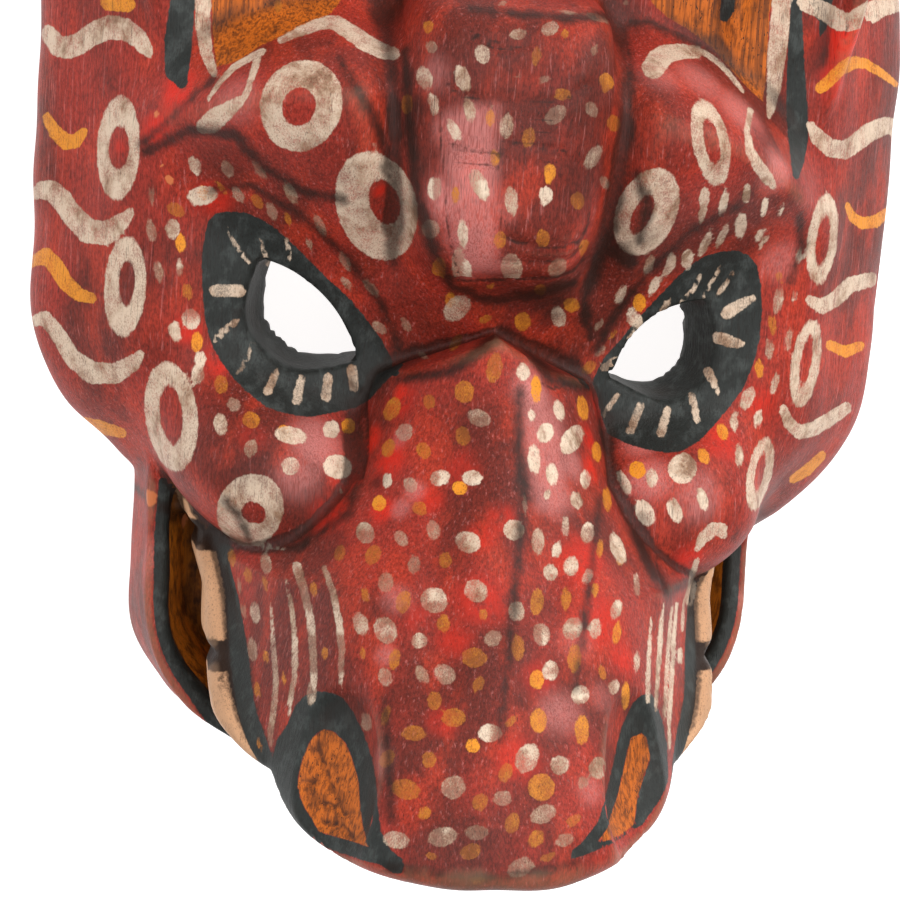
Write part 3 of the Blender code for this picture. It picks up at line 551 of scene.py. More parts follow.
# Strokes: each point is x, y, z and half the width of the mark there.
whiteStrokes = [
    [(-102.2, 64.4, 34, 1.9), (-99.9, 61.8, 38, 2.3), (-97.7, 61.7, 40, 2.6), (-95.2, 63.1, 43, 2.6),
     (-92.1, 66.2, 47, 2.7), (-89, 68.1, 51, 2.8), (-85.8, 68.2, 55, 2.5), (-82.9, 66.5, 57, 2.1),
     (-81.1, 64.4, 59, 1.6), (-80.3, 63.1, 59, 0.9)],
    [(-103.3, 25.6, 29, 1.4), (-101.6, 27.3, 34, 2.1), (-99.4, 27.6, 37, 2.4), (-97.2, 25.9, 40, 2.6),
     (-94.8, 22.9, 43, 2.6), (-91.2, 19.8, 47, 2.8), (-87.3, 20.2, 52, 2.8), (-84, 23.4, 55, 1.9),
     (-82.2, 26.1, 57, 0.9)],
    [(-101.7, -5.2, 28, 1.2), (-99.4, -2.9, 36, 1.7), (-96.3, -6.1, 39, 1.9), (-92.8, -11.4, 41, 2.1),
     (-88.2, -14.2, 44, 2.6), (-83.2, -13.2, 50, 2.3), (-79.7, -9.5, 56, 1.9), (-78.1, -6.9, 58, 0.9)],
    [(72.1, 84, 62, 2.1), (77.1, 82, 62, 2.1), (80.4, 80.2, 64, 2.2), (82.4, 80.2, 65, 2.1),
     (86, 82.2, 65, 2.3), (95.1, 82.4, 42, 2.4), (102.1, 83.7, 33, 2.4)],
    [(75.8, 55.3, 61, 0.9), (78.2, 52.2, 60, 1.9), (81.9, 49.7, 58, 2.1), (86.6, 49, 54, 2.1),
     (90.2, 50.3, 49, 2.1), (94.7, 52.6, 44, 2.2), (99.7, 53.6, 38, 2), (103.8, 53.2, 33, 1.9),
     (104.3, 48, 34, 0.7)],
    [(79.8, 13.4, 59, 1.2), (83.6, 11.5, 56, 1.7), (87.7, 12.9, 52, 1.9), (92.5, 15.7, 46, 1.9),
     (100.1, 16.1, 37, 1.7)],
    [(75, -12.5, 61, 1), (77.2, -16.6, 59, 1.4), (80.9, -19, 56, 1.7), (85, -18.8, 52, 1.8),
     (89.7, -17.3, 47, 1.8), (95.4, -15.2, 41, 1.5)],
    [(-68.9, 83.4, 62, 1.8), (-68.9, 76.5, 62, 1.8), (-68.6, 70.8, 62, 1.7), (-67.9, 65.3, 65, 1.5),
     (-66.8, 61.8, 70, 1.1), (-66.3, 60.7, 73, 0.7)],
    [(67.7, 91.3, 62, 2.1), (66.3, 84.2, 62, 2.1), (66.5, 78.3, 62, 2.3), (66.3, 70.1, 62, 2.2),
     (66.3, 63.1, 62, 1.6), (65.5, 59, 64, 1.1), (64.5, 57.2, 67, 0.5)],
    [(-67.9, 55.2, 77, 0.5), (-65.3, 59.3, 76, 0.7), (-62.2, 62.8, 75, 0.8), (-57.8, 65.5, 75, 0.9),
     (-55.9, 66.6, 75, 0.9)],
    [(-51.7, 69.4, 74, 0.9), (-47.3, 71.5, 72, 1.3), (-42.7, 73.3, 71, 1.6), (-39.3, 74, 71, 1.8),
     (-36.3, 72.3, 76, 2), (-33.1, 70.4, 79, 2.2), (-29.6, 68.8, 79, 2), (-26.7, 68.2, 80, 1.6)],
    [(47.5, 71.6, 64, 0.7), (51.5, 69.5, 64, 0.7), (54.8, 66.5, 65, 0.7), (57.8, 62.9, 67, 0.5)],
    [(58.7, 59.1, 73, 0.8), (56.2, 55.4, 82, 0.7), (56.4, 51.3, 86, 1.1), (58.8, 47.8, 85, 1.4),
     (62.1, 44.6, 82, 1.4), (64.3, 42.3, 79, 0.7)],
    [(-68.5, 48.9, 75, 1.6), (-66.7, 50.2, 77, 2.5), (-64.4, 52.7, 80, 2), (-62.1, 55.2, 83, 1.4),
     (-60.1, 57.2, 84, 0.7)],
    [(-60.1, 57.4, 84, 0.7), (-58.9, 60.7, 82, 0.7), (-57.6, 63.8, 78, 0.9), (-57.1, 65.2, 77, 0.7)],
    [(53.7, -44.5, 76, 0.7), (54.7, -41.6, 77, 1.4), (57.3, -39.5, 76, 1.6), (59.4, -39.6, 75, 1.4),
     (60.2, -41.4, 74, 0.9)],
    [(-56.8, -42.9, 71, 0.5), (-53.4, -47.6, 68, 0.5), (-48.4, -48.9, 71, 0.5), (-43.7, -47.9, 78, 0.3)],
    [(-47.2, -59.2, 85, 0.2), (-46.7, -67.1, 89, 0.6), (-46.1, -75.2, 95, 0.7), (-46.4, -81.7, 97, 0.7),
     (-47.1, -87.3, 98, 0.7), (-46.9, -89.9, 100, 0.3)],
    [(-44.3, -53, 87, 0.3), (-43.1, -59.3, 92, 0.6), (-42.5, -66.4, 97, 0.7), (-42.6, -72.7, 100, 0.7),
     (-43.4, -78.9, 101, 0.6), (-43.6, -82.1, 103, 0.3)],
    [(-41.9, -50.3, 86, 1.1), (-40.8, -54.2, 93, 1), (-39.6, -59.1, 97, 0.9), (-39, -65.2, 101, 0.9),
     (-38.8, -71.4, 105, 0.8), (-39.1, -76.7, 107, 0.7)],
    [(-36.5, -48.8, 93, 0.6), (-35, -53, 100, 0.8), (-33.8, -58.5, 104, 0.8), (-33.2, -64.5, 108, 0.8),
     (-33.4, -69.8, 111, 0.6), (-33.4, -73.2, 111, 0.3)],
    [(39.5, -56.1, 98, 0.2), (39, -62.4, 101, 0.5), (38.2, -69.6, 106, 0.6), (38.2, -74.3, 108, 0.5)],
    [(43.8, -54.5, 90, 0.2), (42.7, -60.3, 94, 0.6), (41.9, -66.4, 99, 0.6), (41.1, -72.5, 103, 0.5),
     (40.6, -76.6, 106, 0.4)],
    [(46.7, -56.1, 86, 0.3), (45.5, -63.3, 91, 0.5), (44.2, -71.3, 98, 0.5), (43.3, -79.1, 103, 0.4)],
    [(48.6, -56.3, 82, 0.4), (47.3, -63.9, 88, 0.5), (45.9, -74.1, 96, 0.6), (45, -81.2, 101, 0.5),
     (45.2, -86.5, 103, 0.3)],
    [(51.6, -56.9, 76, 0.3), (51.1, -60.7, 78, 0.5), (50.6, -63.1, 81, 0.4)],
    [(49.6, -67, 85, 0.7), (49.6, -69.5, 86, 0.7)],
    [(54.3, -47.5, 74, 0.6), (54.5, -52.3, 69, 0.8), (54, -55.8, 69, 0.7), (51.6, -57.3, 76, 0.4)],
    [(55, -56.5, 66, 0.4), (53.2, -57.9, 72, 0.6)],
]
lashStrokes = [
    [(-60.5, 24.6, 62, 0.2), (-57.9, 20, 62, 0.5), (-54.6, 16.4, 62, 0.5)],
    [(-52.6, 22.4, 63, 0.2), (-51.3, 19, 63, 0.5), (-49.3, 15.3, 54, 0.7)],
    [(-46.5, 22.5, 65, 0.5), (-45.5, 18, 64, 0.5)],
    [(-62.1, 9.3, 62, 1.4), (-56.3, 9.6, 62, 1.4)],
    [(-61.6, -2.5, 62, 0.5), (-59.5, 0, 62, 0.9), (-56.6, 2.5, 62, 0.7)],
    [(-55.8, -9.5, 64, 0.5), (-54, -6.5, 63, 0.6), (-52.5, -2.3, 62, 0.4)],
    [(-48.8, -13.2, 66, 1), (-46.8, -8.8, 63, 0.8)],
    [(-41.9, -15, 66, 1.1), (-40.8, -10.2, 63, 0.9)],
    [(-34.7, -14.5, 63, 1.1), (-34.4, -9.8, 62, 1.1)],
    [(-28.1, -12.1, 62, 1.1), (-28.9, -7.8, 62, 1.3)],
    [(30.9, -4.7, 62, 0.9), (33.6, -2.6, 62, 0.8)],
    [(36.5, 2.8, 62, 0.8), (39, 4.1, 62, 0.8)],
    [(43.3, 8, 63, 0.5), (44.7, 12, 63, 0.6)],
    [(47.7, 11.8, 63, 0.3), (50.7, 15.1, 63, 0.5), (51.6, 18.9, 65, 0.4)],
    [(53.5, 13.2, 62, 0.4), (54.9, 17.2, 63, 0.5), (56.2, 21, 65, 0.4)],
    [(56.6, 13.8, 62, 0.5), (58.2, 16.5, 63, 0.6), (59.8, 19.6, 63, 0.4)],
    [(59.4, 9.8, 62, 1.5), (62.4, 11.9, 62, 1.3), (65.4, 13.7, 62, 0.8)],
    [(57.9, 3.8, 62, 1.5), (60.9, 2.9, 62, 1.4), (63.4, 2.6, 62, 0.9)],
    [(56.2, -4.5, 61, 1.1), (57.6, -7.1, 62, 0.9), (59.3, -10.3, 62, 0.3)],
    [(52.6, -10.4, 62, 0.9), (53.6, -15.8, 65, 0.8)],
    [(46.8, -13.8, 63, 0.9), (44.7, -19, 67, 1)],
    [(40.4, -13.3, 62, 0.9), (37.7, -19, 65, 1)],
    [(34.7, -10.7, 62, 0.6), (31.7, -15.9, 62, 0.6)],
]
yellowStrokes = [
    [(-101.4, 44.5, 35, 1.3), (-99.5, 41.6, 38, 1.6), (-97, 39.7, 41, 1.8), (-94.9, 40.4, 43, 1.6),
     (-93.3, 42.8, 45, 1.1)],
    [(-102.7, 9.4, 29, 1.4), (-100, 12, 36, 1.9), (-97.4, 9.7, 39, 2), (-95.1, 6.4, 42, 1.9),
     (-92.3, 4.4, 45, 1.6), (-89.5, 4.3, 49, 1.2)],
    [(-95.5, -23.7, 29, 1.2), (-92.7, -26.8, 30, 1.8), (-89.3, -28.9, 31, 1.9), (-84.9, -28.6, 36, 1.7),
     (-79.9, -29, 40, 1.2)],
    [(77.4, 64.1, 62, 1.3), (79.6, 66.1, 62, 1.4), (82.3, 69.2, 62, 1.4), (87.4, 69.9, 53, 1.4),
     (91.2, 69.2, 48, 1.2), (96.3, 66.7, 42, 1.1), (102.5, 63.3, 34, 0.8)],
    [(89, 35.5, 51, 0.8), (91.1, 32.4, 48, 1.2), (94.8, 30.3, 43, 1.4), (99.6, 30.4, 38, 1.5),
     (103.7, 32.4, 33, 1.1)],
    [(87.4, 1.8, 52, 1.2), (92.9, -0.8, 45, 1.4), (98, -0.1, 39, 1.2)],
    [(83.3, -32.7, 43, 1.2), (87.1, -30.7, 41, 1.5), (90.5, -27.3, 40, 1.2)],
    [(-89.8, 73.8, 50, 1.9), (-85.5, 74, 55, 1.8)],
]
blackStrokes = [
    [(-74.1, 83, 62, 2.7), (-73.5, 76.2, 62, 2.8), (-74.1, 67, 62, 3.2), (-74.1, 60.3, 64, 2.9),
     (-73.1, 57.7, 67, 1.4)],
    [(69.4, 91.4, 62, 1.2), (69.9, 84.4, 62, 1.3), (70.7, 72.7, 62, 1.9), (72, 61, 62, 2.5),
     (72.8, 52.4, 63, 2.6), (71.9, 47.5, 68, 1.9), (70.5, 44.5, 74, 0.9)],
]
# Painted shade lines along the seams between the carved forms, then the shallow carved grooves, in the same
# form.
seamShadeStrokes = [
    [(-28.7, -10.2, 62, 0.2), (-26.3, -18.9, 66, 0.5), (-27.4, -28.9, 76, 0.7), (-30.7, -37.3, 85, 0.7),
     (-40.9, -46.6, 82, 0.7), (-50.8, -50.2, 67, 0.5), (-60.2, -48.6, 53, 0.2)],
    [(29.7, -11.2, 62, 0.4), (31.2, -21.2, 66, 0.6), (33.9, -30.2, 75, 0.7), (37.1, -38.8, 79, 0.9),
     (40.1, -46.6, 87, 1.2), (45.1, -52.7, 87, 0.7), (58.3, -53.9, 61, 0.5)],
    [(-19, -7.9, 73, 0.5), (-15.5, -6.3, 77, 0.9), (-8.9, -4, 83, 0.9), (-2.4, 1.5, 83, 1.2),
     (4, 4.9, 73, 1.2), (10.7, 0.4, 68, 1.2), (15.5, -5, 81, 1.2), (27.7, -9.4, 63, 0.7)],
    [(-24.6, 69.5, 83, 0.5), (-23.8, 58.8, 89, 0.9), (-22.2, 47.6, 89, 1.1), (-20.1, 36.3, 90, 1.1),
     (-16.6, 26.6, 92, 1.1), (-9.6, 16, 81, 0.9)],
    [(29.2, 71.3, 71, 0.5), (27.8, 59, 86, 0.8), (27.4, 45.2, 86, 1), (26.7, 31.7, 81, 1.4),
     (25.3, 22.1, 74, 1.6), (23.3, 12.5, 70, 1.2), (26.6, 3.3, 64, 0.9)],
    [(26, 25.2, 76, 0.9), (29.2, 25.1, 78, 2.1), (32.4, 22.7, 76, 1.6)],
    [(-57.9, -37.6, 74, 0.5), (-54.9, -41.1, 74, 0.7), (-51.2, -47.8, 69, 0.7)],
    [(-8.7, 15.2, 80, 0.9), (-0.1, 12.6, 79, 1.2), (9, 14, 79, 1.2), (20, 16.6, 75, 0.9)],
    [(-18, -2.5, 63, 0.9), (-24, 9.6, 67, 0.5), (-33.4, 20.3, 71, 0.5), (-44.6, 29.3, 72, 0.3),
     (-56.4, 35.4, 70, 0.2), (-66, 32.9, 64, 0.2)],
    [(28.6, -0.9, 62, 0.7), (32.5, 9.8, 66, 0.7), (38.2, 20.4, 72, 0.5), (45.8, 30.5, 77, 0.3),
     (56.8, 37.6, 79, 0.2)],
    [(-81.3, 42.2, 60, 0.5), (-75.5, 49.2, 68, 0.3), (-66.5, 59.9, 74, 0.5)],
    [(-80.1, 40.7, 61, 0.7), (-71, 47.5, 71, 0.9), (-61.4, 47.6, 78, 1.1), (-55.1, 40.8, 76, 0.9),
     (-45.7, 35.7, 78, 0.7), (-35.8, 34.5, 82, 0.7)],
    [(-39.4, 66.6, 85, 0.5), (-32.6, 56.2, 91, 0.9), (-26.5, 44.6, 85, 0.9), (-23, 34, 82, 0.7)],
    [(-11.7, 80.6, 93, 0.4), (-0.4, 80, 93, 0.7), (11, 79.7, 94, 0.7), (21.6, 80.5, 86, 0.9),
     (35.4, 77.4, 63, 0.9), (47.6, 72.9, 63, 0.7)],
    [(6.7, -6.5, 88, 0.5), (6, -17.1, 94, 0.7), (7.3, -29.8, 101, 0.7), (5, -46.4, 111, 0.7),
     (2.9, -62.8, 120, 0.4), (0.9, -79.3, 129, 0.2)],
    [(27.7, -31.9, 86, 0.2), (23.8, -42.8, 102, 0.5), (21.3, -54.7, 112, 0.5), (18.6, -69.1, 121, 0.2)],
    [(-89.9, -33.9, 25, 0.4), (-78.8, -42.2, 28, 0.5), (-69, -46, 44, 0.5), (-58, -50.7, 57, 0.5)],
    [(-23, -107.2, 136, 0.4), (-14.5, -107.3, 139, 0.6), (-3.4, -107.8, 141, 0.6),
     (10.1, -106.4, 140, 0.6), (18.3, -104.5, 138, 0.4)],
    [(-24.4, -73, 120, 0.4), (-23.7, -85.2, 127, 0.7), (-22.9, -97.3, 133, 0.4)],
    [(73.5, 34.7, 68, 0.5), (76, 26.9, 63, 0.7), (74, 18.3, 62, 0.5)],
    [(-27.6, 42.7, 86, 0.7), (-23.6, 35.1, 82, 0.9), (-23.6, 26.3, 76, 0.9)],
    [(30, 44.4, 88, 0.7), (33.6, 37.4, 86, 1.1), (33.5, 28.5, 81, 0.9)],
]
grooveStrokes = [
    [(-1.4, 30.1, 98, 0.2), (2.7, 28.6, 97, 0.3), (8.5, 28, 97, 0.3), (13.2, 28.4, 97, 0.3),
     (16.8, 29.7, 95, 0.3), (18.6, 32.8, 94, 0.3), (18.8, 41.2, 94, 0.2), (18.5, 49.3, 95, 0.2),
     (19.3, 57.7, 95, 0.1)],
    [(-0.9, 23.9, 96, 0.1), (4.4, 24.2, 96, 0.2), (10.1, 24.5, 96, 0.2), (14.8, 25.5, 95, 0.2),
     (17.5, 28.2, 94, 0.2)],
    [(-16.7, 63.7, 97, 0.2), (-13.4, 61.7, 98, 0.3), (-7.7, 60.2, 98, 0.3), (0.3, 60.2, 98, 0.3),
     (6.7, 60.7, 98, 0.3), (11.1, 62.3, 98, 0.3), (16, 65.5, 97, 0.3)],
    [(-12.4, 76, 96, 0.2), (-7.4, 74.1, 97, 0.3), (-1.6, 73, 97, 0.3), (1.8, 73.5, 97, 0.3)],
    [(-11.9, 74.2, 97, 0.2), (-6.2, 72.4, 97, 0.2), (-1.6, 72.2, 97, 0.2)],
    [(-14.9, 50.5, 97, 0.2), (-8.1, 50.7, 98, 0.2), (-3.6, 50.9, 98, 0.2), (3.2, 51.5, 98, 0.2),
     (12.8, 52.4, 98, 0.2)],
    [(-14.3, 48.7, 97, 0.1), (-9.1, 48.6, 98, 0.2), (1.1, 49.4, 98, 0.2), (11.4, 50.1, 98, 0.1)],
    [(-13.4, 46, 97, 0.1), (-5.5, 46.1, 98, 0.1), (5.8, 47.1, 98, 0.1), (13.9, 47.9, 97, 0.1)],
    [(-4, 56.3, 98, 0.1), (2.8, 56.5, 98, 0.2), (13.1, 57.4, 98, 0.1)],
    [(-2.7, 53.7, 98, 0.1), (5.3, 53.9, 98, 0.2), (14.5, 55, 97, 0.1)],
    [(-9.6, 18.4, 89, 0.3), (-4.9, 19.2, 92, 0.3), (3, 19.7, 92, 0.3), (12, 20.7, 93, 0.3),
     (15.9, 22.4, 93, 0.3), (19.6, 25.3, 89, 0.2)],
    [(-17.5, 57.7, 96, 0.2), (-16.7, 48.7, 96, 0.2), (-15, 39.8, 97, 0.2), (-13.8, 30.7, 96, 0.2),
     (-11.4, 23.2, 95, 0.2), (-9.3, 18.7, 90, 0.2)],
    [(-4.2, 59.7, 98, 0.1), (-3.5, 49.6, 98, 0.1), (-2.3, 36, 98, 0.1), (-1.7, 26.8, 97, 0.1)],
    [(-25.7, -12.9, 62, 0.2), (-25.6, -18.6, 68, 0.3), (-26.4, -24.7, 74, 0.3), (-27.6, -30.4, 78, 0.2)],
    [(42.7, -46.4, 81, 0.2), (43.4, -49.2, 85, 0.3), (43.8, -52.3, 89, 0.2), (39.7, -50.1, 92, 0.2)],
    [(34.1, -27.1, 72, 0.2), (35.2, -31.6, 76, 0.2), (37.6, -35.9, 78, 0.2)],
    [(81.5, 83, 65, 0.2), (82, 79.7, 65, 0.2), (82, 76.4, 64, 0.2)],
    [(-36.3, -98.1, 114, 0.2), (-33.6, -98.8, 117, 0.2), (-30.2, -99, 121, 0.2)],
    [(-41.2, -95.1, 111, 0.1), (-37.8, -94.6, 112, 0.2)],
    [(-37.4, -86.6, 109, 0.1), (-34.7, -93.6, 113, 0.2), (-31.6, -100.1, 119, 0.2)],
    [(-35.6, -102.5, 117, 0.2), (-32.6, -102.2, 119, 0.2), (-30.3, -103.8, 124, 0.2)],
    [(13.3, -5.6, 83, 0.3), (16.3, -6.8, 81, 0.4), (19.1, -6.7, 78, 0.2)],
]
# Areas: closed outlines, each point x, y, z.
blackAreas = [
    [(-65.2, 22.5, 62), (-64.7, 25.6, 62), (-63.1, 27.6, 63), (-59.9, 28.3, 64), (-56.8, 28.4, 65),
     (-53.1, 27.1, 65), (-49.2, 25, 66), (-44.8, 21.4, 65), (-40.8, 17.8, 65), (-35.7, 13.2, 64),
     (-30.7, 9.2, 64), (-26.5, 4.5, 63), (-22.9, 0.3, 63), (-19.6, -4.8, 62), (-19.8, -7, 66),
     (-21.5, -9.1, 68), (-24.6, -14.1, 65), (-27.4, -16.5, 63), (-33.8, -17.9, 65), (-38.9, -18.3, 69),
     (-44.7, -17.5, 70), (-49.5, -16.2, 70), (-53.5, -13.5, 67), (-56.7, -10.8, 65), (-59.6, -7.4, 63),
     (-62, -3.9, 62), (-63.7, 1.2, 62), (-64.8, 7.3, 62), (-65.4, 12.9, 62), (-65.7, 18.5, 62)],
    [(29.7, -11.2, 62), (28.3, -7.9, 62), (29.3, -5.5, 62), (30.9, -2, 62), (34.3, 2.5, 63),
     (37.7, 7.5, 63), (41.4, 12.2, 64), (44.6, 16.8, 66), (47.8, 21, 68), (51.2, 23.7, 68),
     (55.5, 25.2, 68), (59.7, 25.3, 66), (63, 24.2, 65), (65.4, 21.7, 63), (67, 16.9, 62), (67.9, 9.7, 62),
     (67.7, 3.5, 62), (66.7, -2.3, 62), (64.7, -8.2, 62), (61.6, -12.6, 63), (57.9, -16.6, 65),
     (53.5, -19.8, 70), (48.8, -22.2, 72), (45.1, -22.6, 72), (40.7, -22.3, 70), (36.4, -21.6, 67),
     (32.5, -19.9, 64), (31, -15.9, 62)],
    [(-47, -94.3, 101), (-45.8, -87.7, 101), (-43.9, -83.5, 103), (-42.4, -79.1, 103), (-40.5, -76.1, 105),
     (-37.8, -74.4, 108), (-35.3, -74.1, 110), (-32.6, -75, 111), (-30.4, -77.7, 113), (-28.3, -81.5, 116),
     (-26.5, -86.3, 121), (-25.9, -90.3, 125), (-25.7, -95.8, 130), (-25.1, -100.2, 133),
     (-22.9, -103.7, 135), (-19.9, -105.5, 137), (-20.4, -108.6, 137), (-22.7, -108.6, 136),
     (-24.9, -107.3, 134), (-28.9, -107.3, 131), (-33.3, -107.9, 122), (-38.3, -107.1, 119),
     (-41.6, -104.9, 118), (-44.8, -101.3, 117), (-46.3, -97.4, 116), (-46.5, -96.8, 102)],
    [(29.7, -86.2, 116), (31.2, -79.9, 113), (32.7, -77.3, 111), (34.2, -74.1, 110), (36.6, -72.2, 109),
     (39.6, -72.9, 106), (42.7, -79.3, 104), (44.3, -85.1, 104), (44.6, -92.7, 107), (41.8, -95.9, 113),
     (37.4, -101.1, 116), (31, -102.7, 123), (20.7, -103.2, 136), (17.1, -104, 138), (17.5, -101.9, 137),
     (19.4, -100.9, 136), (23.7, -96.5, 133), (27.6, -91.9, 121)],
]
orangeAreas = [
    [(-67.1, 81.2, 62), (-66.5, 69.8, 63), (-65.9, 62.2, 71), (-60.9, 64.1, 74), (-55.9, 67.9, 73),
     (-47.3, 72.1, 71), (-40.2, 75.4, 68), (-36.4, 79.6, 63), (-36.5, 82.9, 62)],
    [(36, 87.1, 62), (35.2, 81.9, 62), (39.8, 78.5, 62), (45.2, 76, 62), (51.4, 71.7, 63),
     (57.5, 65.2, 65), (63.3, 60.4, 65), (64.2, 65.3, 62), (64, 74.7, 62), (63.6, 84, 62),
     (63.6, 88.8, 63)],
]
nostrilAreas = [
    [(-36.4, -82.9, 109), (-34.3, -83, 110), (-31.8, -84.8, 113), (-30.3, -87.8, 115), (-29, -92, 119),
     (-28.7, -96, 121), (-28.2, -100.9, 125), (-27.6, -103.9, 132), (-30.1, -104.8, 125),
     (-33.2, -104.9, 121), (-36.9, -104.8, 117), (-38.6, -102.2, 115), (-40.6, -99.5, 113),
     (-41.7, -95.8, 111), (-41.4, -93.2, 110), (-40.6, -89.7, 109), (-39, -85.2, 109)],
    [(34.4, -82.2, 110), (37.3, -81.3, 109), (38.2, -81.9, 108), (39.6, -87, 109), (37.9, -91.2, 111),
     (36.2, -95.8, 114), (35.1, -100.8, 118), (31.1, -101.9, 123), (23.8, -100.8, 134), (26.3, -97.9, 132),
     (30.7, -94.3, 118), (32.2, -89.4, 115), (33.5, -84.8, 112)],
]
# Outlines of painted pale pink sheen, where light glances off the varnish.
pinkSheenAreas = [
    [(-17.1, 57.3, 97), (-11, 59.6, 98), (-4.5, 59.9, 98), (-1.1, 21.4, 94), (-9.1, 19.4, 91),
     (-12.5, 26.1, 96), (-15.2, 37.4, 97)],
    [(5.7, -2.6, 87), (9.3, -0.6, 84), (14.1, -7, 84), (17.7, -13.7, 84), (19.4, -24.3, 90),
     (16.3, -34.4, 99), (10, -32, 101), (7, -17.1, 94)],
]
whiteAreas = [
    [(31.2, 68.4, 78), (34.1, 71.2, 72), (37.6, 72.7, 68), (42.4, 72.9, 65), (47.6, 72.5, 63),
     (47.5, 70, 66), (42.9, 69.9, 70), (39.1, 69.4, 74), (35.6, 66.9, 81), (33.7, 65.8, 83),
     (31.7, 66.4, 81)],
]
# Patches of tone, wear, painted shade and painted sheen: x, y, z, reach, amount.
# Dark patches: dark glaze, and painted shade under the forehead, under the cheeks and in the valleys.
darkAndShadePatches = [
    (18, 44, 95, 11, 0.60), (10, 57, 98, 12, 0.45), (4, 72, 97, 13, 0.45), (-12, 72, 97, 9, 0.25),
    (-22, 57, 91, 4, 0.80), (-20, 43, 91, 3, 0.70), (-18, 29, 91, 3, 0.60), (27, 59, 86, 3, 0.90),
    (27, 45, 86, 3, 0.90), (26, 32, 81, 4, 0.90), (34, 29, 81, 5, 0.50), (3, 13, 79, 10, 0.70),
    (16, 13, 76, 9, 0.85), (27, 3, 64, 7, 0.60), (-7, 3, 69, 6, 0.45), (29, 78, 63, 9, 0.55),
    (-62, 41, 72, 9, 0.50), (-27, 35, 82, 9, 0.40), (-40, 43, 86, 10, 0.35), (-51, 67, 79, 9, 0.20),
    (-53, -30, 77, 7, 0.50), (-62, -16, 67, 4, 0.30), (-41, -41, 78, 12, 0.40), (-24, -30, 84, 3, 0.80),
    (-25, -18, 69, 2, 0.60), (42, -49, 87, 5, 0.80), (39, -38, 78, 3, 0.70), (-14, -44, 105, 7, 0.35),
    (11, -51, 111, 5, 0.45), (-1, -67, 122, 11, 0.25), (6, -69, 123, 6, 0.35), (16, -39, 102, 6, 0.20),
    (-5, -16, 92, 6, 0.30), (-4, -104, 140, 16, 0.40), (-15, -103, 138, 6, 0.30), (15, -79, 127, 5, 0.35),
    (32, -44, 96, 4, 0.20), (-23, -9, 65, 6, 0.50), (-18, 11, 70, 7, 0.35), (-78, 32, 60, 3, 0.50),
    (-88, 56, 51, 5, 0.50), (-89, 4, 49, 5, 0.20), (-66, 19, 62, 3, 0.30), (-65, -46, 35, 6, 0.50),
    (-53, -50, 63, 5, 0.70), (-35, -44, 89, 6, 0.60), (15, -104, 138, 9, 0.30), (-24, -73, 120, 4, 0.50),
    (-21, -85, 128, 4, 0.35), (-8, -43, 107, 5, 0.30), (6, -42, 108, 5, 0.30), (85, 49, 55, 6, 0.20),
    (71, -53, 45, 6, 0.30), (55, -59, 67, 5, 0.30), (16, 64, 97, 5, 0.50), (-2, 50, 98, 5, 0.30),
]
# Pale pink patches: painted sheen on the varnish, in places worn paint as well.
pinkSheenPatches = [
    (-15, 37, 97, 7, 0.90), (-10, 28, 97, 6, 0.80), (-15, 53, 97, 5, 0.70), (-20, 66, 95, 5, 0.50),
    (-37, -23, 73, 8, 0.90), (-42, -31, 78, 6, 0.60), (10, -7, 87, 6, 1.00), (13, -16, 90, 7, 0.90),
    (15, -29, 96, 6, 0.70), (20, -23, 89, 5, 0.70), (41, -28, 76, 6, 0.80), (53, -32, 77, 7, 0.60),
    (40, -22, 68, 5, 0.70), (-22, -52, 110, 4, 0.50), (-20, -34, 95, 3, 0.60), (-24, -64, 115, 3, 0.50),
    (15, -74, 124, 6, 0.60), (22, -90, 130, 4, 0.50), (-1, 21, 94, 5, 0.40), (46, 66, 76, 8, 0.60),
    (55, 59, 77, 8, 0.70), (65, 46, 80, 6, 0.70), (36, 67, 81, 6, 0.40), (25, -71, 119, 4, 0.30),
    (-17, -30, 94, 3, 0.60), (-25, -86, 125, 4, 0.40), (19, -59, 115, 5, 0.30), (-3, 36, 98, 5, 0.35),
    (-62, 56, 83, 7, 0.40), (71, 23, 63, 6, 0.50), (-20, -20, 83, 3, 0.40), (-72, -58, 45, 6, 0.40),
    (71, -62, 48, 3, 0.50),
]
brightPatches = [
    (-22, -25, 84, 6, 1.00), (-24, -35, 92, 4, 1.00), (-19, -12, 76, 5, 0.90), (-25, -22, 74, 4, 0.90),
    (-60, -7, 63, 5, 0.80), (-68, 0, 62, 4, 0.80), (-64, 31, 64, 5, 0.80), (-74, 56, 68, 6, 1.00),
    (-78, 46, 65, 5, 1.00), (31, -15, 62, 5, 1.00), (26, -25, 83, 4, 0.90), (59, -20, 68, 6, 0.70),
    (69, -11, 62, 4, 0.70), (83, 76, 64, 8, 1.00), (82, 66, 62, 6, 0.80), (-3, -51, 113, 7, 0.60),
    (21, -43, 104, 8, 0.70), (25, -55, 111, 8, 0.60), (2, -34, 104, 4, 0.60), (5, -83, 131, 6, 0.60),
    (-3, -38, 106, 4, 0.60), (31, -64, 111, 5, 0.60), (-12, -76, 126, 4, 0.50), (-30, -31, 76, 5, 0.70),
    (-34, -39, 81, 6, 0.70), (52, -47, 75, 5, 0.80), (-28, 37, 84, 2, 1.00), (-86, 41, 56, 2, 0.50),
    (-53, -23, 75, 4, 0.30), (-9, -59, 117, 5, 0.50), (10, -67, 121, 5, 0.50), (-14, -31, 97, 4, 0.60),
    (-7, -24, 96, 5, 0.40), (-17, -56, 113, 4, 0.40), (54, -16, 65, 3, 0.60), (43, 10, 63, 4, 0.30),
    (26, -19, 77, 4, 0.90),
]
wornPatches = [
    (-73, -44, 43, 3, 1.00), (-63, -52, 29, 3, 0.80), (-74, 35, 62, 2, 1.00), (-79, 50, 65, 2, 0.80),
    (-76, 38, 62, 1, 0.80),
]


# How far, and how deep along the view, a mark of each kind is laid.
brushReach = dict(far=6.0, facing=0.03, stroke=(13.0, 12.0), area=8.0, dot=(3.0, 9.0), ring=(4.0, 16.0))


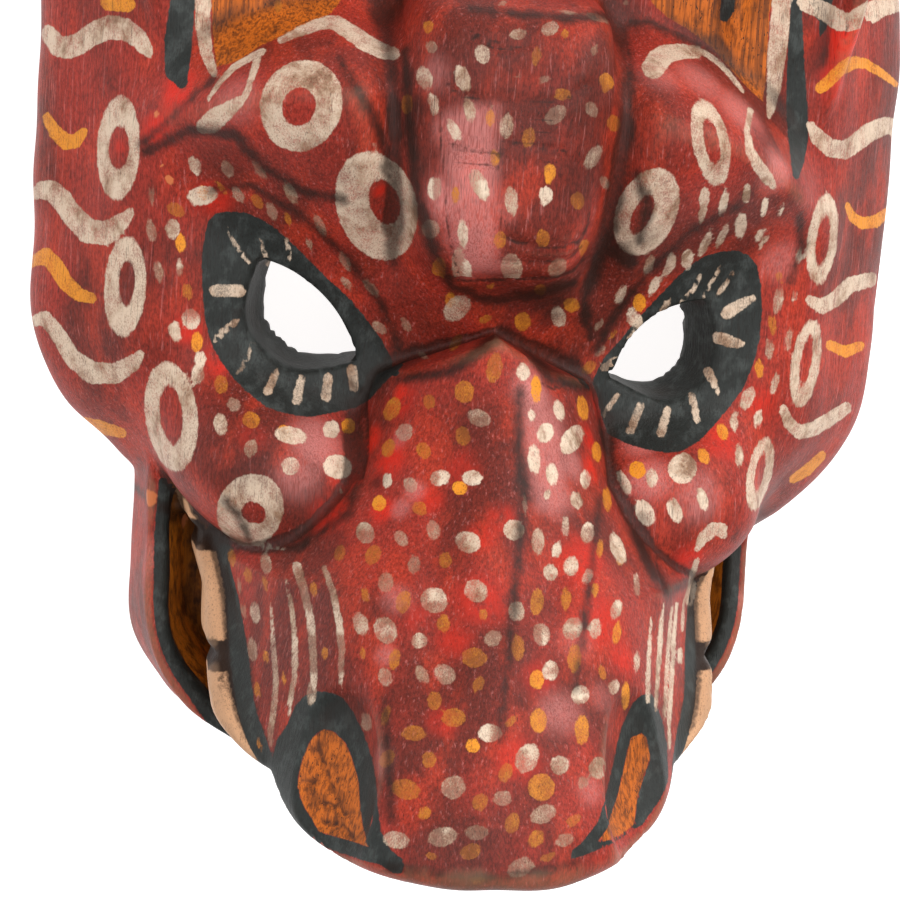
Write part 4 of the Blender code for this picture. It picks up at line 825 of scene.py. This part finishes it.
class Brush:
    def __init__(self, points, facing):
        self.axes = viewAxes(brushView)
        self.seen = points @ self.axes
        self.ready = facing @ self.axes[:, 2] > brushReach["facing"]
        self.far = brushReach["far"]

    def near(self, marks, reach, deep):
        low = marks.min(0) - (reach, reach, deep)
        high = marks.max(0) + (reach, reach, deep)
        inside = ((self.seen > low) & (self.seen < high)).all(1) & self.ready
        return np.nonzero(inside)[0]

    def lay(self, layer, rows, distance):
        distance = np.minimum(distance, self.far)
        layer[rows] = np.minimum(layer[rows], distance)

    def stroke(self, layer, points):
        path = np.array(points)
        at = path[:, :3] @ self.axes
        wide = path[:, 3]
        deep, gate = brushReach["stroke"]
        rows = self.near(at, wide.max() + self.far, deep)
        here = self.seen[rows]
        best = np.full(len(rows), self.far)
        for k in range(len(at) - 1):
            run = at[k + 1] - at[k]
            t = ((here[:, :2] - at[k, :2]) @ run[:2]) / max(run[:2] @ run[:2], 1e-6)
            t = np.clip(t, 0.0, 1.0)
            gap = here - at[k] - t[:, None] * run
            d = np.hypot(gap[:, 0], gap[:, 1]) - wide[k] - t * (wide[k + 1] - wide[k])
            best = np.where(np.abs(gap[:, 2]) < gate, np.minimum(best, d), best)
        self.lay(layer, rows, best)

    def area(self, layer, points):
        at = np.array(points) @ self.axes
        rows = self.near(at, self.far, brushReach["area"])
        here = self.seen[rows]
        best = np.full(len(rows), self.far)
        inside = np.zeros(len(rows), bool)
        for k in range(len(at)):
            a = at[k - 1]
            b = at[k]
            run = b - a
            t = np.clip(((here[:, :2] - a[:2]) @ run[:2]) / max(run[:2] @ run[:2], 1e-6), 0.0, 1.0)
            gap = here[:, :2] - a[:2] - t[:, None] * run[:2]
            best = np.minimum(best, np.hypot(gap[:, 0], gap[:, 1]))
            crosses = (a[1] > here[:, 1]) != (b[1] > here[:, 1])
            level = a[0] + (here[:, 1] - a[1]) * run[0] / (run[1] if abs(run[1]) > 1e-9 else 1e-9)
            inside ^= crosses & (here[:, 0] < level)
        self.lay(layer, rows, np.where(inside, -best, best))

    def strokes(self, layer, paths):
        for points in paths:
            self.stroke(layer, points)

    def areas(self, layer, outlines):
        for points in outlines:
            self.area(layer, points)

    def oval(self, rows, centre, long, short, degrees):
        here = self.seen[rows, :2] - centre
        c = np.cos(np.radians(degrees))
        s = np.sin(np.radians(degrees))
        u = here[:, 0] * c + here[:, 1] * s
        v = here[:, 1] * c - here[:, 0] * s
        return (np.hypot(u / long, v / short) - 1.0) * min(long, short)

    def dots(self, layer, strength, marks):
        rim, deep = brushReach["dot"]
        for x, y, z, long, short, degrees, full in marks:
            at = np.array((x, y, z)) @ self.axes
            rows = self.near(at[None], long + rim, deep)
            d = self.oval(rows, at[:2], long, short, -degrees)
            closer = d < layer[rows]
            strength[rows[closer]] = full / 9.0
            self.lay(layer, rows, d)

    def rings(self, layer, marks):
        rim, deep = brushReach["ring"]
        for x, y, z, wide, high, innerWide, innerHigh, shiftX, shiftY, degrees in marks:
            at = np.array((x, y, z)) @ self.axes
            rows = self.near(at[None], max(wide, high) + rim, deep)
            outer = self.oval(rows, at[:2], wide, high, degrees)
            inner = self.oval(rows, at[:2] + (shiftX, shiftY), innerWide, innerHigh, degrees)
            self.lay(layer, rows, np.maximum(outer, -inner))


def patchesOn(points, marks):
    total = np.zeros(len(points))
    for x, y, z, reach, amount in marks:
        d2 = ((points - (x, y, z)) ** 2).sum(1) / (reach * 0.8) ** 2
        total = np.maximum(total, amount * np.exp(-d2 * d2 * 0.5 - d2 * 0.3))
    return total


# Bands that follow the form: lips, jaw edge, eye hole walls, teeth and ears.
bandSize = dict(
    lipUnder=1.0, lipOver=5.0, lipEdge=0.5, lipEnds=(-106.0, -40.0),
    jawHalf=2.6, jawGrowth=3.0, jawDepth=3.0, jawTop=-38.0,
    eyeSkin=0.9, eyeBack=13.0, toothTop=0.9, toothReach=17.0, toothGapHalf=3.0,
    earShareWidth=34.0, earLow=78.0, earFloor=52.0, earFoot=84.0,
    earBlack=(11.4, 2.9), earWhite=(17.0, 1.8), earOrange=18.8,      # in from the ear's edge, half width
    innerEdge=2.2, hollowSkin=1.6, rimHeight=1.6,
)


def lipAndJawBands(black, sa, sy, z, head):
    s = bandSize
    lip = lipLine(sy)
    plan = snoutOutline(sa, sy)
    lipBand = np.maximum(lip - s["lipUnder"] - z, z - lip - s["lipOver"])
    lipBand = 0.8 * np.maximum(lipBand, plan + s["lipEdge"])
    onLip = (np.abs(plan) < 8.0) & (sy < s["lipEnds"][1]) & (sy > s["lipEnds"][0]) & (head > 1.5) & (z > 46.0)
    black = np.where(onLip, np.minimum(black, lipBand), black)
    lean = jawSize["lean"] * np.clip(z - 25.0, 0.0, 60.0)
    jawIn = jawOutline(sa, sy) + lean + jawSize["wall"]
    low = ease((-84.0 - sy) / 16.0)
    rim = jawLip(sy) - s["jawDepth"] - z
    band = np.maximum(np.abs(jawIn - 0.4) - s["jawHalf"] - s["jawGrowth"] * low, rim)
    onJaw = (np.abs(jawForm(sa, sy, z)) < 1.0) & (sy < s["jawTop"])
    black = np.where(onJaw & (z > 25.0) & (z < 70.0), np.minimum(black, band), black)
    return black, jawIn, onJaw


def earBands(ha, hy, z, facing):
    s = bandSize
    e = earSize
    t = np.clip((hy - e["root"][1]) / e["length"], 0.0, 1.0)
    bow = np.clip(1.0 - np.abs((t - 0.5) / 0.5) ** 2.4, 0.0, 1.0)
    edge = e["root"][0] + e["lean"] * t + e["half"] * bow ** 0.7 - ha
    full = 2.0 * e["half"] * bow ** 0.7
    share = np.minimum(full / s["earShareWidth"], 1.0)
    black = np.minimum(np.abs(edge - s["earBlack"][0] * share) - s["earBlack"][1] * share,
                       np.abs(full - edge) - s["innerEdge"])
    white = np.abs(edge - s["earWhite"][0] * share) - s["earWhite"][1] * share
    orange = np.maximum(s["earOrange"] * share - edge, edge - full - 3.0)
    onEar = (np.abs(earForm(ha, hy, z)) < 1.2) & (hy > s["earLow"]) & (facing > 0.1) & (z > s["earFloor"])
    away = np.clip((s["earFoot"] - hy) * 0.6, 0.0, 6.0)
    return onEar, black + away, white + away, orange + away


def zones(p, normal):
    s = bandSize
    x, y, z = p.T
    far = brushReach["far"]
    facing = normal[:, 2]
    hx, hy = skewed(x, y, headSize["skewAt"], headSize["skew"])
    ha = np.abs(hx)
    sx, sy = skewed(x, y, snoutSize["skewAt"], snoutSize["skew"])
    sa = np.abs(sx)
    lip = lipLine(sy)
    head = headForm(ha, hy, z)
    black, jawIn, onJaw = lipAndJawBands(np.full(len(p), far), sa, sy, z, head)
    hole = eyeSlot(ha, hy, z)
    wall = ((hole < s["eyeSkin"]) & (z > 30.0)) | ((hole < s["eyeBack"]) & (facing < 0.3))
    black = np.where(wall, np.minimum(black, -2.0), black)
    mouth = np.maximum(np.maximum(jawIn - 0.4, z - lip + 0.6), sy - s["jawTop"])
    mouth = np.maximum(mouth, 14.0 - z)
    onTooth = (np.abs(toothForm(sa, sy, z)) < 1.2) & (z > lip - s["toothReach"]) & (sy < -30.0)
    onTooth &= np.abs(snoutOutline(sa, sy)) < 6.0
    tooth = np.maximum(z - lip + s["toothTop"], s["toothGapHalf"] - np.abs(toothGap(sy)))
    onEar, earBlack, earWhite, earOrange = earBands(ha, hy, z, facing)
    inside = (hollowForm(np.abs(x), y, z) < s["hollowSkin"]) & (hole > s["eyeBack"]) & (facing < 0.3)
    return dict(
        black=np.where(onEar, np.minimum(black, earBlack), black),
        white=np.where(onEar, earWhite, far),
        orange=np.where(onEar, earOrange, far),
        mouth=mouth, tooth=np.where(onTooth, tooth, far), jaw=onJaw & (head > 1.5),
        inside=np.where(inside, 1.0, 0.0),
        rim=np.clip((s["rimHeight"] - z) / 1.2, 0.0, 1.0),
    )


# How far each point stands out of its smoothed surroundings, for wear on ridges and dirt in hollows.
def unevenness(mesh, points, normal, spread):
    edges = np.empty(2 * len(mesh.edges), int)
    mesh.edges.foreach_get("vertices", edges)
    a, b = edges.reshape(-1, 2).T
    count = np.bincount(a, minlength=len(points)) + np.bincount(b, minlength=len(points))
    soft = points.copy()
    for turn in range(spread):
        total = np.zeros_like(soft)
        for k in range(3):
            total[:, k] = (np.bincount(a, soft[b, k], len(points)) + np.bincount(b, soft[a, k], len(points)))
        soft = 0.5 * soft + 0.5 * total / np.maximum(count, 1)[:, None]
    return ((points - soft) * normal).sum(1)


lineDepth = dict(groove=0.7, width=0.9, facet=0.09, waves=14, seed=7, length=(0.16, 0.42))


# Shallow grooves and the faint unevenness that hand tools leave.
def carveLines(mask):
    s = lineDepth
    mesh = mask.data
    p = meshPoints(mesh)
    normal = slopeOf(p, carvedWood)
    normal /= np.maximum(np.linalg.norm(normal, axis=1), 1e-6)[:, None]
    brush = Brush(p, normal)
    groove = np.full(len(p), brushReach["far"])
    brush.strokes(groove, grooveStrokes)
    facet = np.zeros(len(p))
    draw = np.random.default_rng(s["seed"])
    for turn in range(s["waves"]):
        way = draw.normal(size=3) * (1.0, 0.6, 1.0)
        way /= np.linalg.norm(way)
        facet += np.sin(p @ way * draw.uniform(*s["length"]) + draw.uniform(0.0, 6.3))
    high = s["facet"] * facet - s["groove"] * np.exp(-(np.maximum(groove + 0.5, 0.0) / s["width"]) ** 2)
    high[p[:, 2] < 1.0] = 0.0
    setPoints(mesh, p + normal * high[:, None])


def paintMask(mask):
    mesh = mask.data
    p = meshPoints(mesh)
    normal = slopeOf(p, carvedWood)
    normal /= np.maximum(np.linalg.norm(normal, axis=1), 1e-6)[:, None]
    zone = zones(p, normal)
    brush = Brush(p, normal)
    far = np.full(len(p), brushReach["far"])
    white = zone["white"].copy()
    yellow = far.copy()
    black = zone["black"].copy()
    orange = zone["orange"].copy()
    strength = np.full(len(p), 0.75)
    brush.areas(black, blackAreas)
    brush.strokes(black, blackStrokes)
    brush.areas(orange, orangeAreas)
    nostril = far.copy()
    brush.areas(nostril, nostrilAreas)
    orange = np.minimum(orange, nostril)
    black = np.maximum(black, -nostril)
    brush.areas(white, whiteAreas)
    brush.strokes(white, whiteStrokes)
    brush.rings(white, ringMarks)
    brush.strokes(white, lashStrokes)
    brush.strokes(yellow, yellowStrokes)
    brush.dots(white, strength, whiteDots)
    brush.dots(yellow, strength, yellowDots)
    white[zone["jaw"]] = brushReach["far"]
    yellow[zone["jaw"]] = brushReach["far"]
    # Painted shade along the seams between the carved forms.
    seamShade = far.copy()
    brush.strokes(seamShade, seamShadeStrokes)
    groove = far.copy()
    brush.strokes(groove, grooveStrokes)
    # Painted pink sheen, from the listed patches and the outlined areas.
    sheenArea = far.copy()
    brush.areas(sheenArea, pinkSheenAreas)
    pink = np.maximum(patchesOn(p, pinkSheenPatches), 0.75 * ease((2.0 - sheenArea) / 5.0))
    layers = dict(
        ornament=(white, yellow, black),
        ground=(orange, zone["mouth"], zone["tooth"]),
        tone=(patchesOn(p, darkAndShadePatches), pink, patchesOn(p, brightPatches)),
        line=(seamShade, groove, far),
        wear=(unevenness(mesh, p, normal, 12), patchesOn(p, wornPatches), strength),
        side=(zone["inside"], zone["rim"], np.where(zone["tooth"] < brushReach["far"] - 0.1, 1.0, 0.0)),
    )
    for name, parts in layers.items():
        layer = mesh.attributes.new(name, "FLOAT_VECTOR", "POINT")
        layer.data.foreach_set("vector", np.stack(parts, 1).ravel())
    print("ornament laid on", len(p), "points")


for polygon in mask.data.polygons:
    polygon.use_smooth = True
carveLines(mask)
paintMask(mask)


def tint(red, green, blue):
    parts = [v / 255.0 for v in (red, green, blue)]
    return tuple(v / 12.92 if v <= 0.04045 else ((v + 0.055) / 1.055) ** 2.4 for v in parts) + (1.0,)


class PaintNodes:
    def __init__(self, name):
        self.material = bpy.data.materials.new(name)
        self.material.use_nodes = True
        self.tree = self.material.node_tree
        self.shader = self.tree.nodes["Principled BSDF"]
        place = self.tree.nodes.new("ShaderNodeTexCoord").outputs["Object"]
        self.place = self.vector("SCALE", place, scale=1000.0)

    def fill(self, socket, value):
        if isinstance(value, bpy.types.NodeSocket):
            self.tree.links.new(value, socket)
        else:
            socket.default_value = value

    def vector(self, operation, a, b=None, scale=None):
        node = self.tree.nodes.new("ShaderNodeVectorMath")
        node.operation = operation
        self.fill(node.inputs[0], a)
        if b is not None:
            self.fill(node.inputs[1], b)
        if scale is not None:
            self.fill(node.inputs["Scale"], scale)
        return node.outputs[0]

    def sum(self, operation, a, b=0.0, c=0.0, clamp=False):
        node = self.tree.nodes.new("ShaderNodeMath")
        node.operation = operation
        node.use_clamp = clamp
        for socket, value in zip(node.inputs, (a, b, c)):
            self.fill(socket, value)
        return node.outputs[0]

    def fade(self, value, start, end):
        node = self.tree.nodes.new("ShaderNodeMapRange")
        node.interpolation_type = "SMOOTHSTEP"
        self.fill(node.inputs["Value"], value)
        node.inputs["From Min"].default_value = start
        node.inputs["From Max"].default_value = end
        return node.outputs["Result"]

    def noise(self, stretch, detail=2.0, shift=0.0, roughness=0.5):
        node = self.tree.nodes.new("ShaderNodeTexNoise")
        self.fill(node.inputs["Vector"], self.vector("MULTIPLY_ADD", self.place, stretch))
        node.inputs["Scale"].default_value = 1.0
        node.inputs["Detail"].default_value = detail
        node.inputs["Roughness"].default_value = roughness
        link = node.inputs["Vector"].links[0].from_node
        link.inputs[2].default_value = (shift, shift * 0.7, -shift)
        return node.outputs["Fac"]

    def blend(self, share, a, b, mode="MIX"):
        node = self.tree.nodes.new("ShaderNodeMix")
        node.data_type = "RGBA"
        node.blend_type = mode
        self.fill(node.inputs["Factor"], share)
        self.fill(node.inputs[6], a)
        self.fill(node.inputs[7], b)
        return node.outputs[2]

    def layer(self, name):
        node = self.tree.nodes.new("ShaderNodeAttribute")
        node.attribute_name = name
        split = self.tree.nodes.new("ShaderNodeSeparateXYZ")
        self.fill(split.inputs[0], node.outputs["Vector"])
        return split.outputs[0], split.outputs[1], split.outputs[2]


woodPaint = dict(
    brick=tint(150, 46, 34), deep=tint(104, 36, 26), warm=tint(176, 54, 32), bright=tint(212, 40, 22),
    # The dark brown below darkens both for dirt and for painted shade.
    pink=tint(218, 136, 130), dirtAndShade=tint(34, 21, 15), white=tint(228, 206, 182), dullWhite=tint(156, 122, 96),
    shade=(0.42, 0.40, 0.38, 1.0), shine=(1.5, 1.46, 1.46, 1.0),      # dark and light threads of the paint
    yellow=tint(236, 150, 40), dullYellow=tint(166, 98, 34), orange=tint(196, 100, 28),
    darkOrange=tint(128, 64, 20), mouth=tint(206, 120, 34), mouthDark=tint(112, 62, 22), gap=tint(44, 29, 20),
    tooth=tint(206, 158, 120),
    black=tint(40, 43, 41), blackSheen=tint(62, 66, 64), deepBlack=tint(22, 22, 19),
    bareWood=tint(206, 118, 70), hollow=tint(150, 108, 72), hollowDark=tint(92, 62, 42),
)


def paintedWood():
    n = PaintNodes("paintedWood")
    c = woodPaint
    white, yellow, black = n.layer("ornament")
    orange, mouth, tooth = n.layer("ground")
    dark, pink, bright = n.layer("tone")
    uneven, worn, strength = n.layer("wear")
    inside, rim, ledge = n.layer("side")
    seamShade, groove = n.layer("line")[:2]

    blotch = n.noise((0.035, 0.022, 0.035), 3.0)
    patch = n.noise((0.11, 0.05, 0.11), 4.0, 7.0)
    streak = n.noise((1.5, 0.06, 1.5), 4.0, 3.0, 0.6)
    grain = n.noise((3.4, 0.13, 3.4), 3.0, 11.0, 0.6)
    speck = n.noise((2.3, 0.8, 2.3), 3.0, 17.0, 0.62)
    rough = n.noise((0.75, 0.6, 0.75), 2.0, 23.0)
    fine = n.noise((3.0, 1.9, 3.0), 3.0, 37.0, 0.65)
    weave = n.noise((1.7, 0.75, 1.7), 4.0, 47.0, 0.72)
    glaze = n.noise((0.13, 0.09, 0.13), 5.0, 41.0, 0.68)
    mottle = n.noise((0.28, 0.2, 0.28), 4.0, 29.0, 0.6)

    def edged(distance, wobble, sharp):
        shift = n.sum("MULTIPLY_ADD", rough, wobble, -0.5 * wobble)
        moved = n.sum("ADD", distance, shift)
        moved = n.sum("MULTIPLY_ADD", speck, 0.5, n.sum("SUBTRACT", moved, 0.25))
        return n.fade(moved, sharp, -sharp)

    red = n.blend(n.fade(blotch, 0.38, 0.60), c["brick"], c["deep"])
    red = n.blend(n.sum("MULTIPLY", n.fade(patch, 0.46, 0.66), 0.6), red, c["warm"])
    red = n.blend(n.sum("MULTIPLY", n.fade(streak, 0.52, 0.72), 0.45), red, c["deep"])
    red = n.blend(n.sum("MULTIPLY", n.fade(streak, 0.44, 0.28), 0.28), red, c["pink"])
    threads = n.blend(n.fade(weave, 0.32, 0.66), c["shade"], c["shine"])
    red = n.blend(0.62, red, threads, "MULTIPLY")
    lit = n.sum("MULTIPLY", bright, n.fade(mottle, 0.25, 0.55), clamp=True)
    red = n.blend(lit, red, c["bright"])
    # Painted pink sheen, broken up along the grain.
    sheenCover = n.sum("MULTIPLY", pink, n.sum("MULTIPLY_ADD", n.fade(grain, 0.35, 0.62), 0.55, 0.35), clamp=True)
    red = n.blend(sheenCover, red, c["pink"])

    ochre = n.blend(n.fade(streak, 0.42, 0.64), c["orange"], c["darkOrange"])
    ochre = n.blend(n.fade(speck, 0.60, 0.68), ochre, c["gap"])
    ochre = n.blend(n.sum("MULTIPLY", n.fade(mottle, 0.5, 0.72), 0.6), ochre, c["gap"])
    colour = n.blend(edged(orange, 0.8, 0.2), red, ochre)
    cave = n.blend(n.fade(mottle, 0.42, 0.66), c["mouth"], c["mouthDark"])
    cave = n.blend(n.sum("MULTIPLY", n.fade(streak, 0.55, 0.7), 0.6), cave, c["gap"])
    colour = n.blend(edged(mouth, 0.6, 0.3), colour, cave)
    colour = n.blend(ledge, colour, c["gap"])
    ivory = n.blend(n.fade(speck, 0.58, 0.72), c["tooth"], c["dullWhite"])
    colour = n.blend(edged(tooth, 0.6, 0.25), colour, ivory)

    # Black paint, with painted grey sheen in mottled patches and darker specks.
    blackPaintAndSheen = n.blend(n.fade(mottle, 0.46, 0.68), c["black"], c["blackSheen"])
    blackPaintAndSheen = n.blend(n.sum("MULTIPLY", n.fade(speck, 0.5, 0.62), 0.35), blackPaintAndSheen, c["deepBlack"])
    colour = n.blend(edged(black, 0.55, 0.16), colour, blackPaintAndSheen)

    thin = n.sum("MULTIPLY_ADD", mottle, 0.45, n.sum("MULTIPLY", fine, 0.6))
    gone = n.sum("MULTIPLY_ADD", strength, -0.22, thin)
    kept = n.fade(gone, 0.52, 0.30)
    gold = n.blend(strength, c["dullYellow"], c["yellow"])
    yellowCover = n.sum("MULTIPLY", edged(yellow, 0.6, 0.16), n.sum("MULTIPLY_ADD", kept, 0.6, 0.4))
    colour = n.blend(yellowCover, colour, gold)
    cream = n.blend(n.sum("MULTIPLY", strength, n.fade(glaze, 0.68, 0.44)), c["dullWhite"], c["white"])
    whiteCover = n.sum("MULTIPLY", edged(white, 0.7, 0.2), n.sum("MULTIPLY_ADD", kept, 0.62, 0.38))
    colour = n.blend(whiteCover, colour, cream)

    crevice = n.fade(uneven, -0.06, -0.5)
    ridge = n.fade(uneven, 0.25, 0.9)
    # Dark glaze patches together with painted shade under the forehead, under the cheeks and in the valleys.
    glazeAndShade = n.sum("MULTIPLY", dark, n.sum("MULTIPLY_ADD", n.fade(mottle, 0.3, 0.62), 0.55, 0.5), clamp=True)
    # All darkening together: dark glaze with painted shade, patina in hollows, painted seam shade, dark
    # grooves and glaze patches.
    dirtAndShade = n.sum("MAXIMUM", n.sum("MULTIPLY", glazeAndShade, 0.82), n.sum("MULTIPLY", crevice, 0.8))
    # Painted shade spread along the seams, darkest on each line.
    seamShadeSpread = n.sum("MULTIPLY_ADD", mottle, 3.0, n.sum("SUBTRACT", seamShade, 1.5))
    seamShadeCover = n.sum("MULTIPLY", n.fade(seamShadeSpread, 1.7, -0.9), 0.88)
    dirtAndShade = n.sum("MAXIMUM", dirtAndShade, seamShadeCover)
    cut = n.sum("MULTIPLY_ADD", rough, 0.9, n.sum("SUBTRACT", groove, 0.45))
    dirtAndShade = n.sum("MAXIMUM", dirtAndShade, n.sum("MULTIPLY", n.fade(cut, 0.35, -0.25), 0.8))
    dirtAndShade = n.sum("MAXIMUM", dirtAndShade, n.sum("MULTIPLY", n.fade(glaze, 0.56, 0.78), 0.5))
    colour = n.blend(dirtAndShade, colour, c["dirtAndShade"])
    pores = n.sum("MULTIPLY", n.fade(grain, 0.56, 0.68), 0.5)
    colour = n.blend(pores, colour, c["dirtAndShade"])
    rubbed = n.sum("MULTIPLY", n.fade(black, -0.2, 0.8), 0.35)
    colour = n.blend(n.sum("MULTIPLY", ridge, rubbed), colour, c["dullWhite"])
    colour = n.blend(n.sum("MULTIPLY", n.fade(n.sum("MULTIPLY_ADD", mottle, 0.9, worn), 0.95, 1.15), 0.9),
                     colour, c["bareWood"])
    timber = n.blend(n.fade(streak, 0.4, 0.62), c["hollow"], c["hollowDark"])
    timber = n.blend(n.sum("MULTIPLY", n.fade(mottle, 0.48, 0.7), 0.5), timber, c["dirtAndShade"])
    colour = n.blend(n.sum("MAXIMUM", inside, rim), colour, timber)
    n.fill(n.shader.inputs["Base Color"], colour)

    sheen = n.sum("MULTIPLY_ADD", mottle, 0.28, 0.34)
    n.fill(n.shader.inputs["Roughness"], n.sum("MULTIPLY_ADD", inside, 0.25, sheen))
    n.shader.inputs["Specular IOR Level"].default_value = 0.2

    height = n.sum("MULTIPLY_ADD", streak, 0.9, n.sum("MULTIPLY", grain, 0.55))
    height = n.sum("MULTIPLY_ADD", whiteCover, 0.25, height)
    height = n.sum("MULTIPLY_ADD", mottle, 0.8, height)
    bump = n.tree.nodes.new("ShaderNodeBump")
    bump.inputs["Strength"].default_value = 0.6
    bump.inputs["Distance"].default_value = 0.0003
    n.fill(bump.inputs["Height"], height)
    n.fill(n.shader.inputs["Normal"], bump.outputs["Normal"])
    return n.material


mask.data.materials.clear()
mask.data.materials.append(paintedWood())
print("paint mixed")

stageSize = dict(width=3.2, paperGlow=0.9, roomLight=0.42)


def placeFloor():
    bm = bmesh.new()
    bmesh.ops.create_grid(bm, x_segments=1, y_segments=1, size=0.5 * stageSize["width"])
    mesh = bpy.data.meshes.new("floor")
    bm.to_mesh(mesh)
    bm.free()
    floor = bpy.data.objects.new("floor", mesh)
    scene.collection.objects.link(floor)
    paper = bpy.data.materials.new("palePaper")
    paper.use_nodes = True
    shader = paper.node_tree.nodes["Principled BSDF"]
    shader.inputs["Base Color"].default_value = (0.5, 0.5, 0.5, 1.0)
    shader.inputs["Roughness"].default_value = 0.85
    shader.inputs["Emission Color"].default_value = (1.0, 1.0, 1.0, 1.0)
    shader.inputs["Emission Strength"].default_value = stageSize["paperGlow"]
    mesh.materials.append(paper)


# The camera looks along the view that the marks were placed in.
cameraSet = dict(distance=1100.0, aim=(-2.5, -28.0, 50.0), lens=184.8)


def placeCamera():
    right, up, out = viewAxes(brushView).T
    aim = np.array(cameraSet["aim"]) - np.array(faceMiddle + (0.0,))
    at = (aim + out * cameraSet["distance"]) * unit
    lens = bpy.data.cameras.new("photoCamera")
    lens.lens = cameraSet["lens"]
    lens.sensor_width = 36.0
    lens.clip_end = 20.0
    camera = bpy.data.objects.new("photoCamera", lens)
    camera.matrix_world = Matrix([[right[k], up[k], out[k], at[k]] for k in range(3)] + [[0, 0, 0, 1]])
    scene.collection.objects.link(camera)
    scene.camera = camera


def softLight(name, place, size, power, colour):
    lamp = bpy.data.lights.new(name, "AREA")
    lamp.shape = "RECTANGLE"
    lamp.size = size[0]
    lamp.size_y = size[1]
    lamp.energy = power
    lamp.color = colour
    light = bpy.data.objects.new(name, lamp)
    out = np.array(place) / np.linalg.norm(place)
    side = np.cross((0.0, 1.0, 0.0), out)
    side /= np.linalg.norm(side)
    up = np.cross(out, side)
    light.matrix_world = Matrix([[side[k], up[k], out[k], place[k]] for k in range(3)] + [[0, 0, 0, 1]])
    scene.collection.objects.link(light)


lightSet = dict(
    skySoft=((0.15, 0.25, 1.9), (1.6, 1.6), 22.0, (1.0, 1.0, 1.0)),
    mainWindow=((1.0, 0.95, 0.95), (0.9, 0.9), 17.0, (1.0, 0.99, 0.97)),
    fillLeft=((-1.3, 0.1, 0.8), (0.9, 0.9), 5.0, (0.97, 0.98, 1.0)),
)


def placeLights():
    for name, lamp in lightSet.items():
        softLight(name, *lamp)
    world = bpy.data.worlds.new("paleRoom")
    world.use_nodes = True
    world.node_tree.nodes["Background"].inputs[0].default_value = (1.0, 1.0, 1.0, 1.0)
    world.node_tree.nodes["Background"].inputs[1].default_value = stageSize["roomLight"]
    scene.world = world


scene.view_settings.view_transform = "Standard"
placeFloor()
placeCamera()
placeLights()
print("stage set")

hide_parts("mask")
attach(mask, "root")
